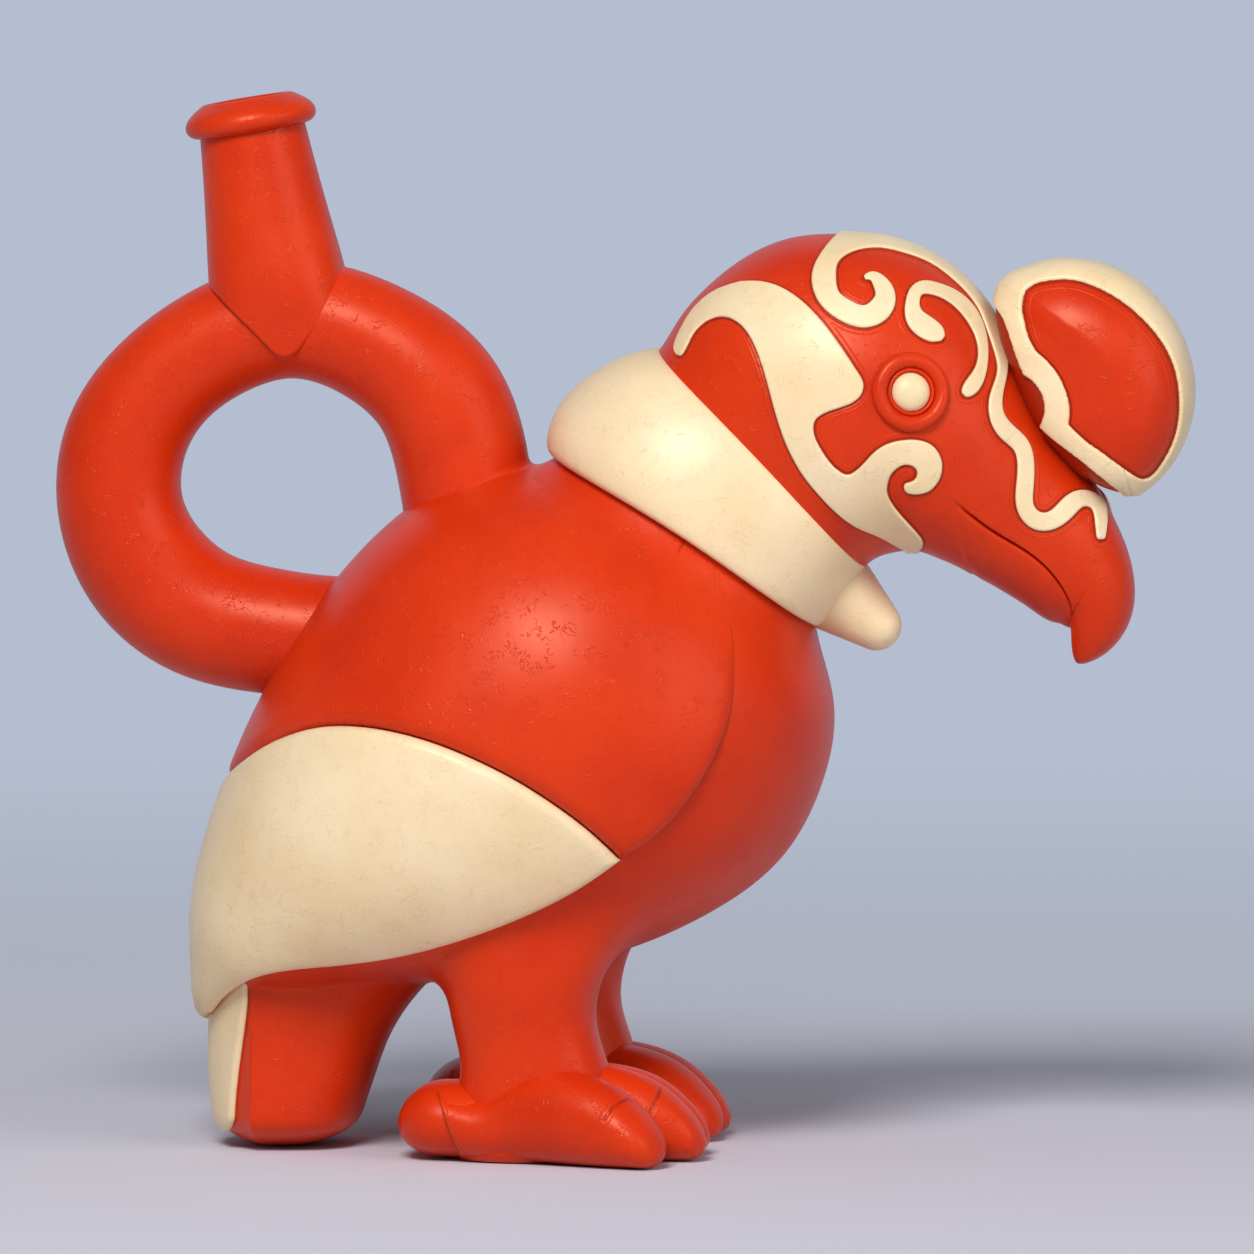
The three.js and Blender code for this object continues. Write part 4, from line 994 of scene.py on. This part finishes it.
piece("skull_and_upper_bill", skull, red, "red_slip", "right_head_half", "left_head_half", "upper_bill")

# Lower bill: the mandible, solid clay under red slip, pressed in one with the head and cut free by the mouth.
# Its edges are rounded, and it starts a little sunk where the mouth's line begins.
end_s = min(0.985, mouth[:, 0].max())
jaw_s, jaw_w = np.meshgrid(mouth_start + (end_s - mouth_start) * eased(70), eased(101), indexing="ij")
jaw_edge = mouth_angle(jaw_s) + 0.03
jaw_a = jaw_edge + (2 * np.pi - 2 * jaw_edge) * jaw_w
jaw = head(jaw_s, jaw_a)
jaw_edges = np.vstack([jaw[:, 0], jaw[:, -1], jaw[-1]])
jaw_away = distance_to(jaw.reshape(-1, 3), jaw_edges).reshape(jaw_s.shape)
jaw_height = rounded(jaw_away, 1.0) - 1.0 - 0.25 * np.clip(1 - (jaw_s - mouth_start) * 22, 0, 1)
lower_bill = panel(jaw, outward(head, jaw_s, jaw_a), jaw_height, 3.0)[:2]
piece("lower_bill", lower_bill, red, "red_slip", "lower_bill")

# Scrolls and cheek plate: figures laid on in thin sheets of clay under cream slip, the same on both sides.
# A groove scored round each leaves a fine ridge in the red beside it.
relief = 0.6


def band_net(surface, s, a):
    """A raised band with rounded edges, but full height where it meets its twin in the middle plane."""
    grid = surface(s, a)
    edges = np.concatenate([grid[:, 0], grid[:, -1], grid[0], grid[-1]])
    free = np.concatenate([a[:, 0], a[:, -1], a[0], a[-1]]) > 1e-3
    away = distance_to(grid.reshape(-1, 3), edges[free]).reshape(s.shape)
    return panel(grid, outward(surface, s, a), relief * rounded(away, 0.45))


crown = band_net(head, *crown_band)
brow = band_net(head, *brow_band)
cheek = plate(head, cheek_outline, relief, 0.45, 0.9)
for name, net in (("crown_scroll", crown), ("brow_scroll", brow), ("cheek_plate", cheek)):
    pair(name, net, cream, "cream_slip", crease=on_middle)

# Eyes: a ball of clay under cream slip, laid on the head inside a rolled bead under red slip.
# A groove and a low inner lip lie between ball and bead.
eye_place = settle(head, np.array([[911.0, 392.0]]))
eye_middle = head(*eye_place)[0]
eye_out = outward(head, *eye_place)[0]
eye_across = np.cross([0, 0, 1], eye_out)
eye_across /= np.linalg.norm(eye_across)
eye_up = np.cross(eye_out, eye_across)


def round_patch(radii, heights, hoop=False, sides=96):
    """Circles on the head about the eye, each raised off it by its height."""
    around = np.arange(sides) * 2 * np.pi / sides
    circle = np.cos(around)[:, None] * eye_across + np.sin(around)[:, None] * eye_up
    targets = eye_middle + np.asarray(radii)[:, None, None] * circle
    flat = targets.reshape(-1, 3)
    start = tuple(np.repeat(place, len(flat)) for place in eye_place)
    s, a = settle(head, flat, lambda p: p, start)
    points = head(s, a) + outward(head, s, a) * np.repeat(heights, sides)[:, None]
    return ring_net(points.reshape(targets.shape), hoop)


dome = np.linspace(0.04, np.pi / 2, 16)
eyeball = round_patch(np.r_[3.6 * np.sin(dome), 3.5], np.r_[2.0 * np.cos(dome) - 0.2, -0.8])
torus = np.linspace(np.pi, 0, 20)
ring_radii = np.r_[3.7, 3.75, 4.0, 4.3, 4.45, 5.95 + 1.5 * np.cos(torus), 7.3, 3.9]
ring_heights = np.r_[-0.5, 0.5, 0.8, 0.6, 0.1, 0.1 + 1.7 * np.sin(torus), -0.9, -0.9]
eye_ring = round_patch(ring_radii, ring_heights, hoop=True)
pair("eye", eyeball, cream, "cream_slip")
pair("eye_ring", eye_ring, red, "red_slip")

# Crest: the king vulture's wattle, a thick disc of solid clay on a short stem at the root of the bill.
# Its faces are domed, with a red panel that swells a little inside a groove, and its rim is cream.
def on_plane(pixels, y):
    """Points of the camera's rays through pixels at the given y."""
    eye_point = aim + towards * distance
    steps = (np.asarray(pixels, float) - picture_middle) * pixel
    ray = steps[:, :1] * rightward - steps[:, 1:] * upward - towards * distance
    return eye_point + ray * ((y - eye_point[1]) / ray[:, 1])[:, None]


# The crest's rim and foot, and the two edges of its border, in pixels.
crest_middle = np.array([89.8, 142.5])
crest_half = 14.0
crest_rim = [
    [997, 284], [1008, 273], [1022, 267], [1040, 261], [1060, 258], [1081, 259], [1101, 263], [1123, 272],
    [1144, 286], [1160, 302], [1172, 318], [1183, 338], [1190, 358], [1195, 394], [1192, 419],
    [1186, 439], [1179, 454], [1165, 474], [1154, 485], [1137, 497],
]
crest_foot = [
    [1137, 497], [1114, 492], [1092, 483], [1066, 463], [1040, 436], [1018, 396], [1002, 352],
    [995, 316], [995, 292], [997, 284],
]
border_lines = [
    [[1135, 497], [1118, 488], [1095, 471], [1070, 451], [1049, 434], [1041, 426]],
    [[1041, 426], [1045, 411], [1043, 397], [1038, 387], [1031, 379], [1024, 374]],
    [[1024, 374], [1016, 353], [1008, 328], [1001, 306], [997, 287]],
]
panel_lines = [
    [
        [1026, 292], [1034, 286], [1043, 283], [1056, 281], [1070, 281], [1095, 288], [1122, 303],
        [1145, 323], [1163, 346], [1174, 371], [1178, 396], [1177, 422], [1170, 446], [1159, 465],
        [1150, 475], [1142, 478], [1134, 475],
    ],
    [[1134, 475], [1118, 464], [1095, 447], [1077, 433], [1069, 424]],
    [[1069, 424], [1070, 410], [1067, 394], [1059, 376], [1050, 364], [1036, 351]],
    [[1036, 351], [1031, 342], [1025, 322], [1023, 305], [1026, 292]],
]


def polar(points):
    """Bearings and distances from the crest's middle, in the order of the bearings."""
    away = points[:, [0, 2]] - crest_middle
    bearing = np.arctan2(away[:, 1], away[:, 0])
    order = np.argsort(bearing)
    return bearing[order], np.hypot(*away[order].T)


def smooth_lines(lines):
    """Smooth lines through the pixels of each part, with corners between the parts."""
    return np.vstack([spline(line, np.linspace(0, 1, 240))[:-1] for line in lines])


rim_points = on_plane(spline(crest_rim, np.linspace(0, 1, 500)), 0.0)
# The foot's outline is seen on the near edge of the crest's wall, up to 9 mm from the middle plane.
foot_share = np.linspace(0, 1, 400)
foot_depth = -9 * np.sin(np.pi * foot_share) ** 0.3
foot_points = on_plane(spline(crest_foot, foot_share), foot_depth)
rim_bearing, rim_reach = polar(np.vstack([rim_points, foot_points]))
chord_bearing = np.radians([-221.0, -77.0])


def on_chord(bearing, ramp=0.12):
    """1 on the crest's straight sides, next to the bill and brow, and 0 on its round rim."""
    middle, half = chord_bearing.mean(), np.ptp(chord_bearing) / 2
    off = np.abs(np.angle(np.exp(1j * (bearing - middle))))
    return np.clip((half - off) / ramp, 0, 1)


def crest_skin(bearing, round_by):
    """Domed faces and a round rim: ovals from the right face's middle over the rim to the left's.

    Their power is 3, and 4.5 on the straight sides, where the wall is flatter. The round rim lies 0.8 mm
    inside its outline, which leaves room for the border."""
    chord = on_chord(bearing)
    power = 3 + 1.5 * on_chord(bearing, 0.3)
    c, s = np.abs(np.cos(round_by)), np.abs(np.sin(round_by))
    oval = (c**power + s**power) ** (-1 / power)
    reach = np.interp(bearing, rim_bearing, rim_reach, period=2 * np.pi) - 0.8 * (1 - chord)
    x = crest_middle[0] + reach * s * oval * np.cos(bearing)
    z = crest_middle[1] + reach * s * oval * np.sin(bearing)
    return np.stack([x, -crest_half * np.cos(round_by) * oval, z], -1)


def on_crest(pixels):
    """Bearings on the crest's right face under pixels, and how far they lie round it from its middle."""
    steps = np.linspace(0, np.pi / 2, 200)
    depth = np.full(len(pixels), -12.0)
    for _ in range(8):
        points = on_plane(pixels, depth)
        away = points[:, [0, 2]] - crest_middle
        bearing = np.arctan2(away[:, 1], away[:, 0])
        reached = crest_skin(bearing[:, None], steps)
        reach = np.hypot(*np.moveaxis(reached[..., [0, 2]] - crest_middle, -1, 0))
        nearest = np.abs(reach - np.hypot(*away.T)[:, None]).argmin(1)
        round_by = steps[nearest]
        depth = reached[np.arange(len(pixels)), nearest, 1]
    order = np.argsort(bearing)
    return bearing[order], round_by[order]


bearing, round_by = np.meshgrid(np.arange(360) * np.pi / 180, np.linspace(0.02, np.pi - 0.02, 120))
panel_at = on_crest(smooth_lines(panel_lines))
border_at = on_crest(smooth_lines(border_lines))
crest_grid = crest_skin(bearing, round_by)
panel_by = np.interp(bearing, *panel_at, period=2 * np.pi)
right_face = np.minimum(round_by, np.pi - round_by)
off_panel = distance_to((crest_grid * [1, 0, 1]).reshape(-1, 3), crest_skin(*panel_at) * [1, 0, 1])
off_panel = off_panel.reshape(bearing.shape)
panel_swell, swell_width = 2.0, 13.0
swell = panel_swell * (1 - (1 - np.clip(off_panel / swell_width, 0, 1)) ** 2)
swell = np.where(right_face < panel_by, swell, 0)
crest_grid[..., 1] -= swell * np.sign(np.pi / 2 - round_by)
marks = 3 - np.where(right_face > panel_by, -off_panel, off_panel)
piece("crest_disc", (*ring_net(crest_grid), np.r_[marks.ravel(), 0, 0]), red, "red_slip", "crest")

stem = loft(
    [
        # rear end x and z, front end x and z, half width, bow
        [58, 147, 76, 112, 10.5, 0],
        [64, 151.5, 82, 117.5, 9, 0],
        [68.6, 155, 86.6, 123.4, 7.8, 0],
    ],
    fullness=0.07,
)
stem_s, stem_a = np.meshgrid(np.linspace(0, 1, 60), np.arange(160) * np.pi / 80, indexing="ij")
piece("crest_stem", ring_net(stem(stem_s, stem_a)), red, "red_slip", "crest")

# Crest border: a broad band of cream slip on a raised edge, round each face and over the rim.
# On the straight sides it stops at the face's edge, with the red wall below it.
bearings, share = np.meshgrid(np.arange(480) * np.pi / 240, eased(21), indexing="ij")
inner = np.interp(bearings, *panel_at, period=2 * np.pi)
outer = np.interp(bearings, *border_at, period=2 * np.pi)
inset = on_chord(bearings)
outer = np.where(inset > 0, outer * inset + np.pi / 2 * (1 - inset), np.pi / 2)
border_by = inner + (outer - inner) * share
border = crest_skin(bearings, border_by)
tiny = 1e-4
over_rim = crest_skin(bearings, border_by + tiny) - crest_skin(bearings, border_by - tiny)
along_rim = crest_skin(bearings + tiny, border_by) - crest_skin(bearings - tiny, border_by)
border_facing = np.cross(over_rim, along_rim)
border_facing /= np.linalg.norm(border_facing, axis=-1, keepdims=True)
border_facing *= np.sign((border_facing * (border - [crest_middle[0], 0, crest_middle[1]])).sum(-1).mean())
free_edges = np.concatenate([border[:, 0], border[:, -1][outer[:, -1] < np.pi / 2 - 1e-3]])
border_away = distance_to(border.reshape(-1, 3), free_edges).reshape(share.shape)
border_net = panel(border, border_facing, 0.75 * rounded(border_away, 0.5), 0.6, hoop=True)
pair("crest_border", border_net, cream, "cream_slip", crease=on_middle)

# Floor and backdrop: one sheet of pale grey paper that curves up behind, out of reach of the shadows.
# It is matt, and the camera and mirrored rays see its far part as an even pale grey.
paper = bpy.data.materials.new("pale_grey_paper")
paper.use_nodes = True
tree = paper.node_tree
diffuse = tree.nodes["Principled BSDF"]
diffuse.inputs["Base Color"].default_value = linear("#d3d3de")
diffuse.inputs["Roughness"].default_value = 0.9
ray = add(tree, "LightPath")
looked_at = ray.outputs["Is Camera Ray"]
for kind in ("Is Glossy Ray", "Is Transmission Ray"):
    looked_at = add(tree, "Math", {"operation": "ADD"}, {0: looked_at, 1: ray.outputs[kind]}).outputs[0]
place = add(tree, "SeparateXYZ", None, {0: add(tree, "TexCoord").outputs["Object"]})
far_range = {"Value": place.outputs["Y"], "From Min": 0.02, "From Max": 0.9}
far = add(tree, "MapRange", {"interpolation_type": "SMOOTHSTEP"}, far_range)
clamped = {"operation": "MULTIPLY", "use_clamp": True}
unshaded = add(tree, "Math", clamped, {0: looked_at, 1: far.outputs[0]})
even = add(tree, "Emission", None, {"Color": linear("#b4bed0"), "Strength": 1.0})
shown = add(tree, "MixShader", None, {0: unshaded.outputs[0], 1: diffuse.outputs[0], 2: even.outputs[0]})
tree.links.new(shown.outputs[0], tree.nodes["Material Output"].inputs["Surface"])
curve = np.linspace(0, np.pi / 2, 40)
bend = np.stack([5000 + 2000 * np.sin(curve), 2000 - 2000 * np.cos(curve)], -1)
sheet = np.vstack([[[-8000.0, 0.0]], bend, [[7000.0, 9000.0]]])
points = np.stack([np.insert(sheet, 0, side, axis=1) for side in (-8000.0, 8000.0)], 1)
k = np.arange(len(sheet) - 1)[:, None] * 2
mesh = bpy.data.meshes.new("paper_sheet")
mesh.from_pydata((points.reshape(-1, 3) / 1000).tolist(), [], (k + [0, 1, 3, 2]).tolist())
mesh.shade_smooth()
mesh.materials.append(paper)
backdrop = bpy.data.objects.new("paper_sheet", mesh)
bpy.context.scene.collection.objects.link(backdrop)

# Light: a broad lamp above and in front, a weaker and wider one on the right, and an even pale room.
# A colour shows in it about as it is written.
world = bpy.data.worlds.new("room")
world.use_nodes = True
world.node_tree.nodes["Background"].inputs["Color"].default_value = linear("#e6eaf5")
world.node_tree.nodes["Background"].inputs["Strength"].default_value = 0.24
bpy.context.scene.world = world
for name, place, size, power in (
    ("key_lamp", (-0.2, -1.75, 1.6), 0.8, 45.0),
    ("fill_lamp", (1.9, -1.3, 0.9), 1.6, 16.0),
):
    lamp = bpy.data.lights.new(name, "AREA")
    lamp.size = size
    lamp.energy = power
    holder = bpy.data.objects.new(name, lamp)
    holder.location = place
    holder.rotation_euler = (Vector((0, 0, 0.1)) - Vector(place)).to_track_quat("-Z", "Y").to_euler()
    bpy.context.scene.collection.objects.link(holder)
bpy.context.scene.view_settings.view_transform = "Standard"
